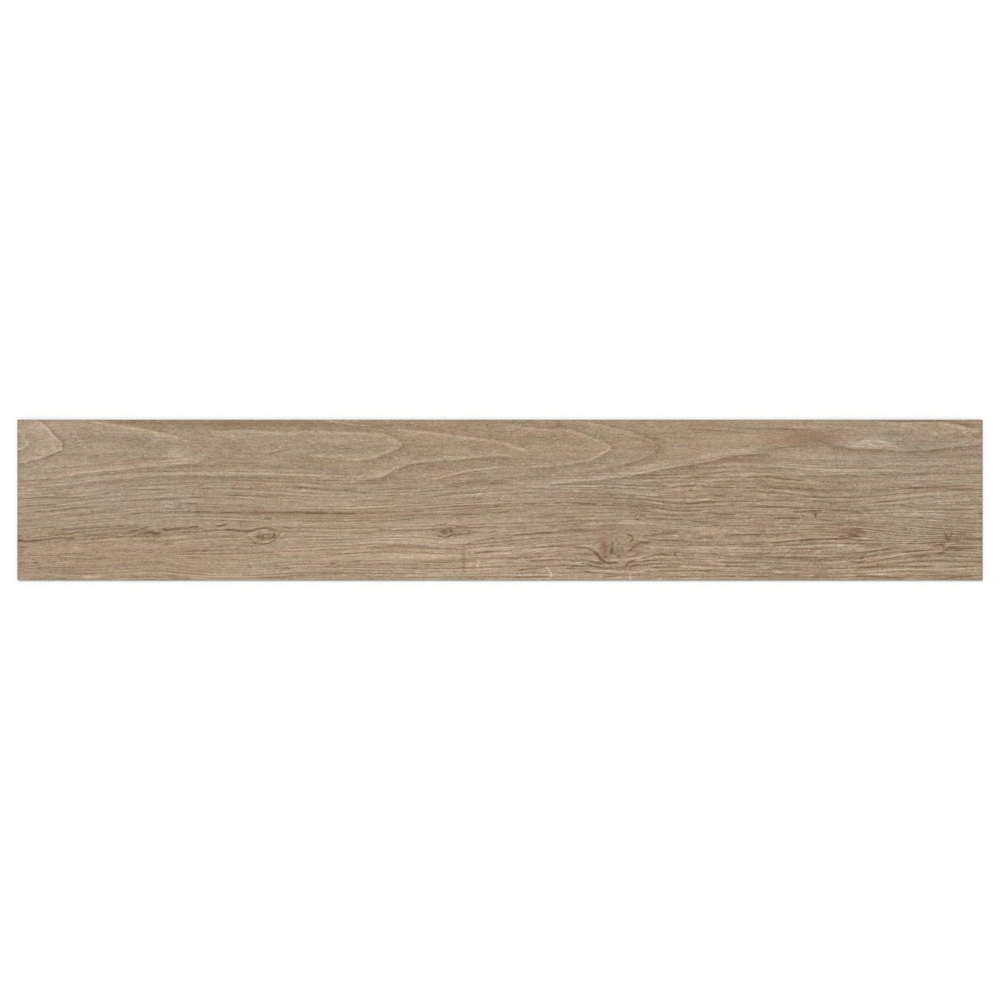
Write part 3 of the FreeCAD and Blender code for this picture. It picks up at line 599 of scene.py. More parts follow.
# Pale grain lines: paleness, width, course
PALE_LINES = [
    (0.40, 2.2, [(100, 421), (115, 423), (125, 425), (145, 428)]),
    (0.40, 1.6, [(84, 480), (100, 478.6), (112, 477), (125, 475.6), (140, 474.6), (160, 473.2)]),
    (0.34, 1.7, [(158, 473.4), (175, 474), (190, 473.5), (205, 474), (240, 473.5), (270, 473), (296, 472)]),
    (0.34, 1.6, [(68, 491.6), (85, 491), (99, 489)]),
    (0.58, 2.2, [(128, 466), (150, 463.2), (170, 460.8), (186, 459.4), (202, 459.6)]),
    (0.30, 1.4, [(34, 516), (50, 514.4), (60, 513), (76, 512)]),
    (0.36, 1.4, [(34, 520), (50, 518), (62, 517.6), (82, 517)]),
    (0.50, 1.8, [(944, 548), (946, 546), (949.6, 543.8), (955, 542.4)]),
    (0.45, 2.4, [(158, 504), (168, 503.4), (178, 503.6)]),
    (0.48, 1.6, [(172, 501.6), (187, 500.6), (201, 501.2)]),
    (0.36, 1.5, [(138, 497.3), (158, 497.1), (176, 497.4)]),
    (0.36, 1.4, [(260, 484.9), (281, 484.6)]),
    (0.34, 1.5, [(58, 555.8), (80, 556)]),
    (0.60, 1.8, [(82, 577.2), (93, 576.8), (105, 577.6)]),
    (0.42, 2.4, [(72, 546), (77, 548)]),
    (0.40, 1.6, [(262, 452), (272, 450.8), (281, 449)]),
    (0.34, 1.6, [(205, 433), (230, 432), (243, 430.4), (255, 431.6), (275, 433.4), (290, 434.6)]),
    (0.40, 1.6, [(300, 433), (320, 432.4), (335, 433.6), (350, 433), (365, 434), (384, 434.6)]),
    (0.75, 1.6, [(318, 419.8), (330, 421.2), (345, 423.6), (355, 425), (366, 425.4), (376, 424)]),
    (0.95, 1.5, [(311, 455.4), (320, 456), (330, 457), (340, 456.8)]),
    (0.85, 1.6, [(334, 452), (340, 455), (346, 458), (352, 459.3), (360, 459), (369, 456)]),
    (0.70, 1.7, [(374, 454), (385, 452.6), (392, 450), (399, 446.6)]),
    (0.42, 1.8, [(318, 478), (326, 477.4), (336, 478.2)]),
    (0.46, 2.2, [(346, 479), (360, 477), (375, 475.6), (386, 471)]),
    (0.80, 1.6, [(423, 480.2), (434, 478.8), (446, 476), (452, 475), (458, 473), (465, 471.5), (474, 470),
                 (488, 468.2), (500, 467), (514, 466.2)]),
    (0.42, 1.8, [(384, 490.8), (391, 489.6)]),
    (0.50, 2.0, [(394, 494.8), (404, 493.4), (414, 492.2), (423, 490.6)]),
    (0.34, 2.4, [(350, 489.4), (364, 489.2), (378, 489.8)]),
    (0.36, 1.4, [(300, 485.8), (312, 486.2), (326, 487)]),
    (0.50, 1.6, [(430, 459), (440, 458.4), (448, 457), (462, 457.3), (472, 456.6)]),
    (0.42, 1.6, [(504, 426.6), (517, 425.8), (523, 427), (532, 429)]),
    (0.62, 1.6, [(464, 530.2), (480, 529.6), (490, 529.5), (508, 529)]),
    (0.40, 1.7, [(470, 549.4), (485, 548.6), (500, 548), (520, 547.6)]),
    (0.60, 1.6, [(524, 485.4), (540, 485.2), (558, 483.4)]),
    (0.60, 1.9, [(642, 469.4), (650, 467.6), (658, 466), (668, 465)]),
    (0.42, 1.6, [(586, 478.4), (600, 477), (620, 474.8), (640, 470.6)]),
    (0.50, 1.4, [(626, 432.6), (634, 436), (641, 437.4)]),
    (0.80, 1.8, [(597, 455.4), (603, 452.4), (608, 450), (611, 448.4)]),
    (0.42, 2.2, [(590, 523.2), (605, 523)]),
    (0.36, 1.4, [(656, 536), (680, 535.4)]),
    (0.50, 2.2, [(616, 526), (620, 523), (627, 521), (634, 520.8), (640, 522), (645, 525.4)]),
    (0.45, 1.5, [(593.4, 546), (597, 549), (600, 552.6)]),
    (0.50, 1.4, [(641, 559), (648, 558.6), (656, 557.4)]),
    (0.50, 1.4, [(642, 550.8), (650, 551.4), (659, 551.8)]),
    (0.42, 1.4, [(644, 562.2), (662, 561.4), (690, 561.6)]),
    (0.55, 1.5, [(666, 573.2), (682, 573)]),
    (0.42, 1.4, [(648, 574.6), (670, 574.2)]),
    (0.50, 1.5, [(646, 547.4), (660, 547.4), (673, 548)]),
    (0.50, 1.4, [(674, 549.6), (688, 549.4), (702, 549.8)]),
    (0.45, 1.5, [(648, 566), (668, 565.2)]),
    (0.60, 1.4, [(576, 564.8), (583, 565.8)]),
    (0.42, 1.8, [(718, 463.8), (735, 463.5), (748, 464.2)]),
    (0.60, 1.9, [(843, 517.6), (852, 518.2), (862, 518)]),
    (0.42, 1.5, [(795, 513.6), (812, 514)]),
    (0.55, 1.7, [(798, 481.6), (810, 482), (823, 481.8)]),
    (0.40, 1.5, [(764, 481.4), (782, 481.2), (796, 481.8)]),
    (0.42, 1.4, [(734, 502.4), (760, 502), (790, 502.2), (808, 502)]),
    (0.40, 1.4, [(790, 498.8), (812, 499), (834, 499)]),
    (1.00, 1.6, [(845, 441.6), (852, 442.4), (859, 443.6), (866, 443.2), (871, 444.6), (876, 446.6),
                 (882, 447.4)]),
    (0.85, 1.5, [(850, 445.6), (858, 446.4), (866, 446)]),
    (0.85, 1.5, [(859, 441.2), (865, 441), (871, 441.6)]),
    (0.90, 1.5, [(872, 440.8), (880, 441.6), (888, 443), (896, 443.6)]),
    (0.90, 1.5, [(878, 445), (886, 445.6), (892, 446), (899, 447.8)]),
    (0.60, 1.5, [(876, 431), (886, 429.8), (896, 429.4), (908, 430.4)]),
    (0.65, 1.6, [(900, 424.4), (907, 423.6), (914, 423.8)]),
    (0.92, 1.8, [(936, 422.8), (944, 423.8), (951, 425.2), (957, 427.2), (963, 428.6), (969, 429),
                 (975, 428.4)]),
    (0.80, 1.6, [(961, 432), (968, 431.6), (974, 431.2), (980, 431.4)]),
    (0.50, 1.5, [(962, 434.8), (969, 433.4), (975, 434.6)]),
    (0.55, 1.8, [(926, 433), (936, 433.4), (946, 433), (957, 431)]),
    (0.50, 2.0, [(886, 425.4), (896, 424), (904, 425.4), (914, 427.4)]),
    (0.50, 1.4, [(944, 446.4), (952, 445), (960, 443.2), (970, 441)]),
    (0.42, 1.8, [(884, 470), (905, 471)]),
    (0.50, 2.4, [(862, 573.6), (875, 573.6), (892, 575)]),
    (0.40, 1.5, [(928, 564.4), (950, 563)]),
    (0.45, 1.8, [(909, 514.4), (920, 512), (936, 512)]),
    (0.45, 1.5, [(972, 509.8), (984, 509.6)]),
    (0.36, 1.6, [(720, 548.6), (745, 548.4), (780, 547.4)]),
    (0.36, 1.6, [(716, 556.6), (740, 556.4)]),
    (0.36, 1.5, [(770, 572.6), (800, 572)]),
    (0.30, 2.0, [(198, 576), (220, 576), (246, 576.2)]),
    (0.50, 1.5, [(220, 575.6), (245, 575.2)]),
    (0.40, 1.6, [(260, 576.4), (290, 576.2)]),
    (0.40, 1.5, [(350, 574.8), (374, 574.4)]),
    (0.40, 1.4, [(272, 573.4), (288, 575)]),
    (0.50, 1.8, [(290, 576.6), (300, 576.8)]),
    (0.30, 1.5, [(380, 556.6), (420, 557.4), (450, 557)]),
    (0.30, 1.5, [(434, 546), (460, 546.6)]),
    (0.45, 4.4, [(612, 476), (640, 468.4), (664, 463), (690, 459.6), (714, 455), (740, 451), (774, 446)]),
    (0.36, 2.8, [(63, 419), (70, 427), (77, 436), (83, 446), (92, 455)]),
    # Ray flecks
    (0.80, 2.2, [(478, 558.4), (477.6, 568)]),
    (1.15, 2.0, [(543.6, 567), (547.4, 568.6), (550, 571.6), (551, 575.4), (549.6, 580)]),
    (0.80, 1.8, [(630.6, 572.6), (630.4, 582)]),
    (0.60, 2.0, [(463, 567.4), (470, 566)]),
    # Streaks in the heart of the big knot
    (0.80, 1.5, [(614.4, 546.4), (615.6, 543.6), (618, 541.8)]),
    (0.75, 1.5, [(616.6, 549), (618.6, 546.4), (620.6, 543.6)]),
    (0.55, 1.5, [(619.4, 552.6), (621.4, 548.6)]),
    (0.55, 1.6, [(611.4, 554.4), (616, 554.4), (622, 553.4)]),
    (0.60, 1.5, [(608, 557.4), (612, 558.6), (616, 558)]),
    (0.45, 1.5, [(619, 532), (623, 534)]),
    (0.70, 1.6, [(588, 571), (600, 570.6), (607, 571.4), (616, 571)]),
    (0.55, 1.6, [(592, 522.6), (598, 522), (604, 522.8)]),
]

# Dots of the knots and pin knots: darkness, place, half length, half height
SPOTS = [
    (0.90, (262.8, 537.2), 1.5, 3.2),
    (0.52, (259.4, 537.6), 3.9, 4.4),
    (0.66, (258.8, 534.8), 2.6, 0.9),
    (0.40, (268, 536.6), 4.0, 2.6),
    (1.15, (273.9, 534.9), 1.4, 2.4),
    (0.40, (277.4, 536), 1.8, 1.2),
    (0.85, (255.2, 543), 1.4, 1.0),
    (0.70, (261.4, 544), 2.6, 1.0),
    (0.70, (269.6, 528.6), 2.2, 1.1),
    (0.70, (290.6, 528.4), 1.8, 0.8),
    (-0.85, (265.9, 536.3), 1.1, 0.9),
    (-0.50, (260.4, 531), 3.4, 0.9),
    (-0.50, (254.4, 532.8), 2.6, 1.2),
    (-0.60, (266, 541.8), 2.6, 0.8),
    (-0.45, (272.4, 540), 1.1, 1.0),
    (-0.45, (281.6, 534.6), 1.2, 1.6),
    (-0.30, (250.4, 534.6), 2.6, 1.4),
    # Second knot
    (0.60, (446.8, 531.4), 7.6, 3.8),
    (0.95, (444.2, 532.4), 3.0, 2.4),
    (0.62, (443.4, 529.8), 3.2, 1.5),
    (0.90, (451, 531), 2.4, 2.2),
    (0.55, (451.4, 528.6), 2.6, 1.6),
    (0.95, (451.2, 534.8), 1.6, 0.9),
    (0.60, (440.6, 532), 1.8, 1.4),
    (0.80, (433.6, 530), 2.4, 0.8),
    (-0.26, (447.8, 531.8), 0.7, 1.6),
    (-0.50, (448.4, 534.6), 1.4, 0.8),
    (-0.45, (444.6, 527.8), 3.2, 0.8),
    (-0.50, (443.6, 535.2), 3.0, 0.6),
    (-0.45, (457, 524.8), 2.4, 0.8),
    # Big knot
    (1.30, (612, 549.6), 1.3, 3.6),
    (0.95, (612.6, 543.6), 1.0, 1.6),
    (1.00, (618.6, 556), 2.0, 1.2),
    (0.60, (625, 555.4), 1.4, 0.9),
    (0.70, (605.4, 556.6), 1.6, 1.2),
    (0.60, (603.6, 545.6), 1.4, 1.4),
    (0.55, (605.4, 550.4), 0.9, 3.2),
    (0.60, (609.6, 560.2), 1.4, 0.8),
    (0.95, (629.8, 567), 1.0, 1.0),
    (1.40, (637.6, 519.2), 2.3, 0.9),
    (0.60, (632, 513), 1.3, 0.9),
    (0.62, (463.2, 555), 1.4, 1.8),
    (0.66, (463.6, 567.6), 1.3, 2.4),
    (-0.60, (466.6, 567), 1.6, 1.2),
    (1.05, (947.2, 539.4), 2.2, 2.2),
    (0.80, (949, 540.4), 2.2, 1.6),
    (0.60, (946.6, 534.8), 0.9, 0.8),
    (0.70, (964, 544), 1.7, 0.8),
    (0.60, (965.4, 536), 1.0, 0.9),
    (0.36, (747, 446), 2.4, 1.0),
    (0.30, (750, 443.4), 1.4, 1.2),
    (0.72, (316, 440.3), 1.4, 0.9),
    (0.72, (362.8, 451.7), 1.4, 0.9),
    (0.62, (353, 506.3), 2.4, 0.7),
    (0.62, (231.6, 524.3), 1.0, 0.8),
    (0.76, (333, 563.2), 2.2, 0.9),
    (0.55, (300, 529.3), 1.6, 0.9),
    (0.75, (814, 511.2), 2.0, 1.0),
    (1.30, (815.6, 514.6), 1.1, 2.6),
    (0.85, (861.4, 558), 1.6, 1.4),
    (0.75, (858.4, 528.9), 3.2, 1.2),
    (1.00, (856.4, 536.2), 2.2, 1.3),
    (0.50, (854.4, 535), 1.8, 1.2),
    (0.50, (859.4, 532), 3.2, 2.0),
    (0.50, (864.4, 533.4), 1.0, 1.6),
    (0.60, (851, 537), 1.8, 1.1),
    (-0.45, (859.6, 538.6), 3.6, 0.8),
    (-0.70, (637.8, 517), 1.3, 1.0),
    (-0.60, (616.4, 549.6), 1.6, 1.1),
    (-0.45, (613.6, 547), 0.7, 1.2),
    (0.70, (617.6, 546.8), 0.8, 1.3),
    (0.70, (619, 544.4), 0.8, 1.2),
    (0.50, (616.4, 541), 0.9, 2.2),
    (0.50, (609.8, 552), 0.8, 2.4),
    (0.45, (622.4, 549.4), 0.9, 2.6),
    (0.45, (615, 553.6), 1.4, 0.7),
    (0.45, (621.6, 559), 1.6, 0.8),
    (-0.50, (616.2, 560.6), 1.0, 0.8),
    (0.55, (588, 541), 1.6, 1.2),
    (0.48, (634.4, 545.8), 3.0, 1.8),
    (0.36, (645, 543), 4.0, 1.4),
]

# Soft changes of tone: lighter or darker, place, half length, half height
SHADES = [
    # Above the long dark line
    (0.55, (41, 440), 21, 17),
    (-0.25, (78, 446), 10, 12),
    (0.40, (120, 430), 36, 5),
    (0.40, (165, 439), 16, 4),
    (0.45, (178, 452), 10, 7),
    (0.36, (184, 456), 16, 4.4),
    (-0.90, (222, 423.5), 78, 3.4),
    (-0.50, (345, 425.5), 56, 3.0),
    (-0.45, (150, 421.5), 30, 2.4),
    (-0.30, (88, 436), 14, 7),
    (-0.45, (138, 442), 18, 8),
    (-0.35, (141, 459), 24, 3.4),
    (-0.50, (240, 449), 36, 6),
    (0.25, (250, 436), 44, 3.4),
    (0.25, (272, 461), 16, 3),
    (-0.30, (302, 461), 20, 8),
    (-0.30, (284, 529.8), 7, 2.6),
    (-0.35, (205, 467.5), 60, 3.2),
    (0.30, (235, 473.6), 70, 2.0),
    (-0.25, (245, 480), 80, 3.0),
    (0.30, (340, 440), 36, 3.0),
    (0.36, (395, 444), 9, 5),
    (0.34, (350, 456), 30, 2.6),
    (0.34, (374, 473.6), 20, 4.0),
    (0.30, (389, 466), 8, 4),
    (-0.28, (420, 455), 22, 5),
    (-0.30, (440, 467), 26, 3.6),
    (-0.20, (452, 425), 40, 4),
    (0.10, (470, 445), 36, 4),
    (-0.20, (540, 438), 40, 5),
    (0.05, (560, 450), 36, 5),
    (-0.10, (560, 474), 60, 3),
    (-0.20, (655, 447), 11, 9),
    (-0.30, (638, 458), 16, 3.2),
    (0.10, (625, 446), 12, 10),
    (0.30, (662, 466), 22, 3.0),
    (0.32, (735, 440), 26, 8),
    (-0.12, (735, 461), 40, 4),
    (0.24, (770, 458), 30, 3),
    (-0.58, (812, 438), 32, 7),
    (-0.55, (764, 450.6), 16, 2.2),
    (-0.25, (732, 444), 34, 3),
    (-0.25, (720, 424), 70, 4),
    (0.46, (870, 443.4), 26, 4.2),
    (0.05, (905, 438), 34, 8),
    (0.35, (918, 428), 40, 4),
    (-0.30, (895, 434), 14, 3),
    (0.20, (860, 460), 50, 5),
    (-0.30, (975, 424), 12, 4),
    (-0.20, (760, 490), 80, 6),
    (-0.25, (940, 488), 40, 3),
    (-0.40, (832, 505), 26, 14),
    (-0.35, (638, 508), 10, 11),
    (0.22, (590, 486), 26, 6),
    (0.25, (560, 485), 40, 3.6),
    (0.20, (150, 503), 50, 4),
    (-0.25, (180, 497), 60, 3),
    # Along the dark broken line of the lower left
    (-0.55, (36, 541), 28, 3.6),
    (-0.50, (80, 536.4), 34, 4),
    (-0.60, (140, 532), 32, 4.2),
    (-0.50, (188, 530), 28, 3.6),
    (-0.55, (240, 530.4), 36, 4),
    # Along the long dark line
    (-0.42, (330, 512.6), 90, 2.6),
    (-0.20, (600, 505.6), 80, 2.6),
    (-0.30, (24, 530), 12, 8),
    (-0.30, (19, 548), 3, 9),
    # Below it
    (0.06, (110, 546), 60, 5),
    (0.30, (76, 547), 4, 3),
    (-0.20, (90, 558), 60, 3),
    (-0.15, (60, 571), 60, 4),
    (0.28, (90, 577), 18, 2.4),
    (0.25, (230, 576), 70, 2.4),
    (0.26, (330, 539), 60, 7),
    (0.50, (400, 539), 62, 5),
    (0.30, (330, 561), 60, 5),
    (0.62, (408, 557), 68, 3.6),
    (-0.40, (392, 548.4), 60, 2.4),
    (-0.05, (400, 527), 40, 3),
    (-0.50, (448, 532), 14, 4),
    (0.35, (455, 542), 20, 3),
    (0.35, (500, 548), 30, 2.6),
    (0.30, (500, 565), 24, 4),
    (0.35, (545, 572), 14, 5),
    (0.30, (450, 575), 40, 2.6),
    (-0.25, (560, 528), 40, 4),
    (0.12, (293, 524.5), 20, 2.6),
    (0.24, (540, 553), 26, 2.4),
    (-0.80, (604, 547), 4.8, 13),
    (-0.50, (615.5, 549.5), 7, 8),
    (0.30, (616, 541), 10, 4),
    (-0.50, (633, 553), 8, 11),
    (0.55, (633, 524), 12, 3.2),
    (0.60, (714, 530.6), 26, 3.4),
    (0.25, (798, 528), 26, 4),
    (-0.50, (856, 533), 7, 4.4),
    (-0.25, (848, 526), 14, 3),
    (-0.30, (800, 541), 60, 3),
    (-0.12, (740, 545), 40, 3),
    (-0.28, (950, 534), 34, 12),
    (-0.30, (957, 541), 18, 9),
    (-0.30, (836, 533), 26, 4),
    (-0.35, (962, 547), 18, 5),
    (0.25, (925, 536), 16, 3),
    (0.25, (870, 571), 20, 3),
    (-0.25, (600, 565), 30, 4),
    # Broad
    (0.60, (38, 428), 26, 7),
    (0.48, (308, 431), 60, 4),
    (-0.20, (398, 448), 96, 7),
    (-0.20, (598, 454), 42, 11),
    (0.18, (694, 438), 36, 10),
    (0.22, (716, 462), 26, 5),
    (-0.15, (766, 445), 22, 6),
    (-0.14, (912, 438), 30, 12),
    (-0.24, (954, 430), 24, 6),
    (-0.24, (188, 429), 20, 4),
    (0.32, (40, 464), 26, 8),
    (-0.24, (146, 461), 28, 4),
    (-0.24, (260, 461), 54, 4),
    (0.42, (92, 491), 40, 8),
    (-0.40, (480, 478), 28, 6),
    (-0.26, (524, 463), 30, 5),
    (-0.20, (524, 477), 24, 5),
    (0.17, (576, 479), 30, 6),
    (0.36, (668, 478), 26, 6),
    (-0.22, (944, 478), 40, 6),
    (0.38, (334, 494), 76, 7),
    (-0.24, (688, 498), 46, 12),
    (0.26, (618, 493), 22, 5),
    (0.46, (922, 495), 50, 6),
    (-0.46, (232, 509), 52, 7),
    (-0.38, (526, 511), 62, 8),
    (0.15, (424, 508), 22, 7),
    (0.12, (868, 508), 20, 8),
    (0.14, (44, 526), 26, 5),
    (-0.14, (284, 526), 24, 5),
    (0.26, (404, 526), 46, 6),
    (-0.62, (575, 525), 26, 8),
    (-0.36, (620, 526), 24, 7),
    (-0.38, (764, 525), 28, 7),
    (-0.28, (956, 526), 28, 8),
    (-0.16, (140, 541), 76, 6),
    (0.28, (408, 541), 48, 8),
    (-0.24, (332, 542), 22, 5),
    (-0.26, (478, 542), 22, 5),
    (-0.20, (862, 543), 26, 6),
    (-0.20, (812, 542), 22, 5),
    (0.20, (716, 541), 22, 5),
    (0.32, (132, 557), 70, 8),
    (0.19, (470, 558), 116, 8),
    (-0.18, (766, 558), 80, 8),
    (0.28, (908, 559), 26, 6),
    (-0.20, (956, 558), 26, 8),
    (-0.31, (840, 540), 150, 46),
    (0.18, (140, 440), 150, 24),
    (-0.07, (530, 436), 130, 14),
    (-0.10, (110, 530), 120, 40),
    (0.17, (956, 446), 26, 8),
    (0.15, (284, 541), 20, 7),
    (0.15, (766, 541), 26, 7),
    (0.14, (382, 557), 26, 7),
    (-0.16, (332, 453), 26, 13),
    (-0.18, (474, 510), 24, 7),
    (-0.15, (333, 542), 22, 7),
    (0.07, (530, 440), 130, 22),
]

# Soft changes of hue: warmer or cooler, rosier or more olive, place, half length, half height
HUES = [
    (-0.7, 0.3, (60, 440), 50, 20),
    (-1.2, -0.3, (110, 498), 110, 26),
    (-0.6, -0.4, (180, 512), 80, 12),
    (0.2, 0.9, (110, 463), 60, 7),
    (0.3, 0.8, (250, 450), 60, 12),
    (0.9, 0.1, (270, 424), 110, 5),
    (0.2, -0.6, (350, 446), 60, 16),
    (-0.3, 0.8, (400, 478), 60, 12),
    (0.5, -0.1, (490, 440), 80, 18),
    (-1.3, -0.2, (580, 484), 56, 11),
    (0.1, 1.3, (608, 451), 9, 4),
    (-0.6, 1.2, (651, 468), 7, 3),
    (0.7, -0.3, (700, 440), 60, 16),
    (1.5, 0.8, (812, 438), 32, 8),
    (-1.2, -0.4, (870, 443), 28, 6),
    (-1.5, -0.2, (905, 443), 80, 20),
    (1.6, 0.2, (905, 433), 24, 2.4),
    (1.0, 0.4, (890, 450.5), 60, 2.2),
    (-1.1, -0.2, (925, 486), 80, 32),
    (0.3, -0.8, (720, 480), 90, 12),
    (0.2, 0.7, (690, 498), 60, 10),
    (1.2, 0.9, (80, 557), 80, 17),
    (0.9, 0.2, (190, 556), 90, 18),
    (1.1, 0.4, (370, 552), 110, 22),
    (-0.8, -0.6, (638, 508), 12, 10),
    (0.3, 0.9, (500, 560), 60, 18),
    (0.6, 0.5, (340, 518), 90, 6),
    (-1.8, -0.9, (615.5, 549.5), 8, 9),
    (-1.2, -0.4, (632, 523), 10, 5),
    (0.8, 1.0, (602, 545), 6, 14),
    (0.4, 0.9, (640, 556), 12, 14),
    (0.3, 0.8, (606, 572), 50, 6),
    (0.3, 0.5, (704, 560), 50, 14),
    (-0.1, 0.6, (664, 512), 44, 10),
    (0.4, 0.5, (760, 545), 80, 16),
    (0.8, 0.5, (850, 530), 26, 8),
    (-0.5, -0.2, (900, 535), 50, 14),
    (0.7, 0.6, (962, 540), 18, 12),
    (0.6, 0.4, (900, 570), 80, 8),
    (0.8, 0.8, (940, 488), 40, 4),
    (0.9, 0.5, (60, 538), 16, 4),
    (0.4, 0.6, (455, 438), 100, 16),
    (0.3, 0.8, (722, 473), 84, 16),
    (0.5, 0.7, (310, 486), 76, 14),
    (-0.8, -0.7, (60, 462), 44, 10),
    (-0.9, 0.0, (38, 434), 28, 14),
    (-0.6, -0.6, (920, 458), 70, 12),
    (-0.8, -0.3, (960, 515), 30, 16),
    (-0.6, 0.0, (884, 536), 40, 14),
    (0.6, 1.0, (232, 511), 30, 6),
    (0.1, 0.9, (535, 512), 70, 9),
    (0.1, 1.1, (574, 528), 26, 7),
    (0.1, 0.7, (694, 524), 46, 8),
    (0.0, 1.0, (768, 490), 34, 8),
    (0.2, -0.9, (92, 492), 30, 7),
    (0.6, 0.2, (128, 550), 50, 12),
    (0.0, 0.8, (452, 429), 90, 8),
    (0.0, 0.7, (668, 428), 28, 8),
    (0.0, -0.8, (908, 429), 64, 8),
    (-0.5, -0.3, (160, 442), 150, 20),
    (-0.3, 0.0, (800, 530), 150, 50),
    (0.3, 0.3, (530, 438), 120, 14),
]

# Reddish brown stains: strength, place, half length, half height
STAINS = [
    (0.45, (30, 541), 16, 2.0),
    (0.80, (69, 538.6), 7, 2.4),
    (0.18, (152, 532.8), 14, 2.2),
    (0.40, (602.6, 534), 3.6, 6),
    (0.70, (603.8, 549.5), 3.6, 8.5),
    (0.35, (300, 512.8), 60, 2.2),
    (0.70, (637, 545.4), 7, 3.0),
    (0.50, (634, 564.6), 8, 3.4),
    (0.55, (857.6, 532.6), 7, 4.0),
    (0.35, (851, 535.6), 5, 2.4),
    (0.60, (812, 438.4), 30, 7),
    (0.40, (766, 451.4), 12, 3),
    (0.30, (834, 533), 24, 3.4),
    (0.35, (634, 550), 6, 9),
    (0.42, (262, 424), 70, 3.2),
    (0.28, (726, 426), 30, 4),
    (0.35, (956, 488.4), 26, 2.4),
    (0.45, (942, 553), 7, 2.4),
    (0.40, (954, 549.5), 7, 3.0),
    (0.35, (963, 533.4), 5, 2.6),
    (0.25, (938, 547), 6, 4),
    (0.15, (446, 532), 9, 6),
    (0.28, (652, 446), 9, 9),
    (0.28, (463.6, 558), 2.2, 14),
    (0.30, (455, 549), 8, 2),
    (0.40, (890, 547), 10, 2.4),
    (0.35, (905, 529), 6, 3),
    (0.30, (915, 566), 26, 2),
    (0.30, (882, 577), 30, 2),
]

# Below this course the fine growth lines reach the surface. Above it the board is cut flat, and shows sand
# and broad rings.
LINES_BEGIN = [(10, 480), (80, 472), (160, 466), (240, 464), (300, 470), (370, 484), (430, 484),
               (500, 478), (560, 476), (610, 470), (660, 466), (720, 462), (790, 456), (840, 458),
               (920, 456), (990, 450)]
LINES_SOFT = 26.0  # height over which they come in, in pixels

# Places where the growth lines show more or less: change of strength, place, half length, half height
LINE_CHANGES = [
    (-0.50, (90, 556), 110, 15),
    (-0.30, (230, 562), 60, 10),
    (-0.10, (120, 505), 90, 14),
    (-0.30, (110, 484), 90, 8),
    (0.15, (480, 555), 120, 18),
    (0.20, (800, 555), 120, 22),
    (0.15, (760, 500), 120, 16),
    (0.16, (450, 494), 70, 8),
    (-0.60, (935, 464), 90, 13),
    (-0.75, (615, 544), 15, 17),
    (-0.75, (632, 525), 13, 5),
    (-0.45, (868, 490), 26, 8),
    (-0.40, (345, 494), 30, 6),
    (-0.40, (122, 551), 36, 5),
    (-0.40, (232, 552), 28, 6),
    (-0.35, (265, 477), 110, 8),
    (-0.35, (250, 508), 90, 9),
    (-0.40, (811, 493), 28, 8),
    (-0.35, (935, 493), 44, 9),
    (-0.25, (400, 556), 50, 7),
    (0.30, (620, 559), 80, 8),
    (0.25, (835, 512), 44, 8),
    (0.25, (820, 526), 90, 7),
    (0.25, (525, 541), 30, 7),
    (0.25, (50, 559), 44, 8),
    (0.20, (283, 559), 34, 8),
]

# Long grain lines that the fibres run along, each with the height that it has where it is level
GUIDES = [
    (420, [(18, 420), (200, 420), (400, 420), (600, 420), (800, 420), (983, 420)]),
    (446, [(18, 446), (200, 446), (400, 446), (600, 446), (800, 446), (983, 446)]),
    (478, [(18, 489), (60, 486), (110, 480), (160, 477), (250, 477), (345, 480), (440, 478), (520, 474),
           (600, 472), (680, 470), (760, 468), (860, 474), (983, 473)]),
    (508, [(20, 519), (60, 515), (110, 511), (170, 507), (240, 508), (300, 512.5), (350, 513), (410, 510),
           (460, 507), (520, 504), (600, 504), (650, 506.5), (680, 510), (750, 507), (800, 510), (860, 512),
           (920, 509.6), (983, 509)]),
    (530, [(18, 541), (60, 538), (110, 533), (176, 529), (232, 529), (300, 529.5), (380, 529.5), (480, 527),
           (560, 524), (640, 521), (720, 522), (800, 522), (860, 524), (897, 527.6), (920, 529.6),
           (950, 531.5), (983, 533)]),
    (548, [(18, 556), (80, 556), (160, 556), (240, 554), (300, 551), (350, 549), (390, 546), (450, 548),
           (500, 545), (540, 541), (580, 539), (660, 540), (720, 542), (780, 542), (830, 539), (865, 540.6),
           (900, 541.6), (930, 542), (960, 541.4), (983, 542)]),
    (556, [(830, 552), (860, 552.6), (880, 550.2), (898, 547.6), (930, 546.8), (983, 548.4)]),
    (562, [(18, 563), (160, 562), (300, 562), (400, 562), (500, 560), (560, 557), (660, 556), (740, 559),
           (830, 562), (860, 560), (898, 554.6), (920, 552.6), (940, 551.6), (983, 554)]),
    (571, [(830, 571), (880, 568.6), (920, 566.4), (950, 566.4), (983, 565.6)]),
    (580, [(18, 580), (200, 580), (400, 580), (600, 580), (800, 580), (983, 580)]),
]

# Knots that push the fibres apart: place, half length, half height
KNOTS = [
    ((266, 537), 17, 7.5),
    ((446, 532.5), 13, 5.5),
    ((616, 550), 24, 12),
    ((638, 518), 8, 3.6),
    ((948, 538), 12, 6),
]


def to_metres(points):
    """Places in the photo as places on the tile."""
    places = np.asarray(points, dtype=float)
    return np.stack([(places[..., 0] - CENTRE_X) * PIXEL, (CENTRE_Y - places[..., 1]) * PIXEL], axis=-1)


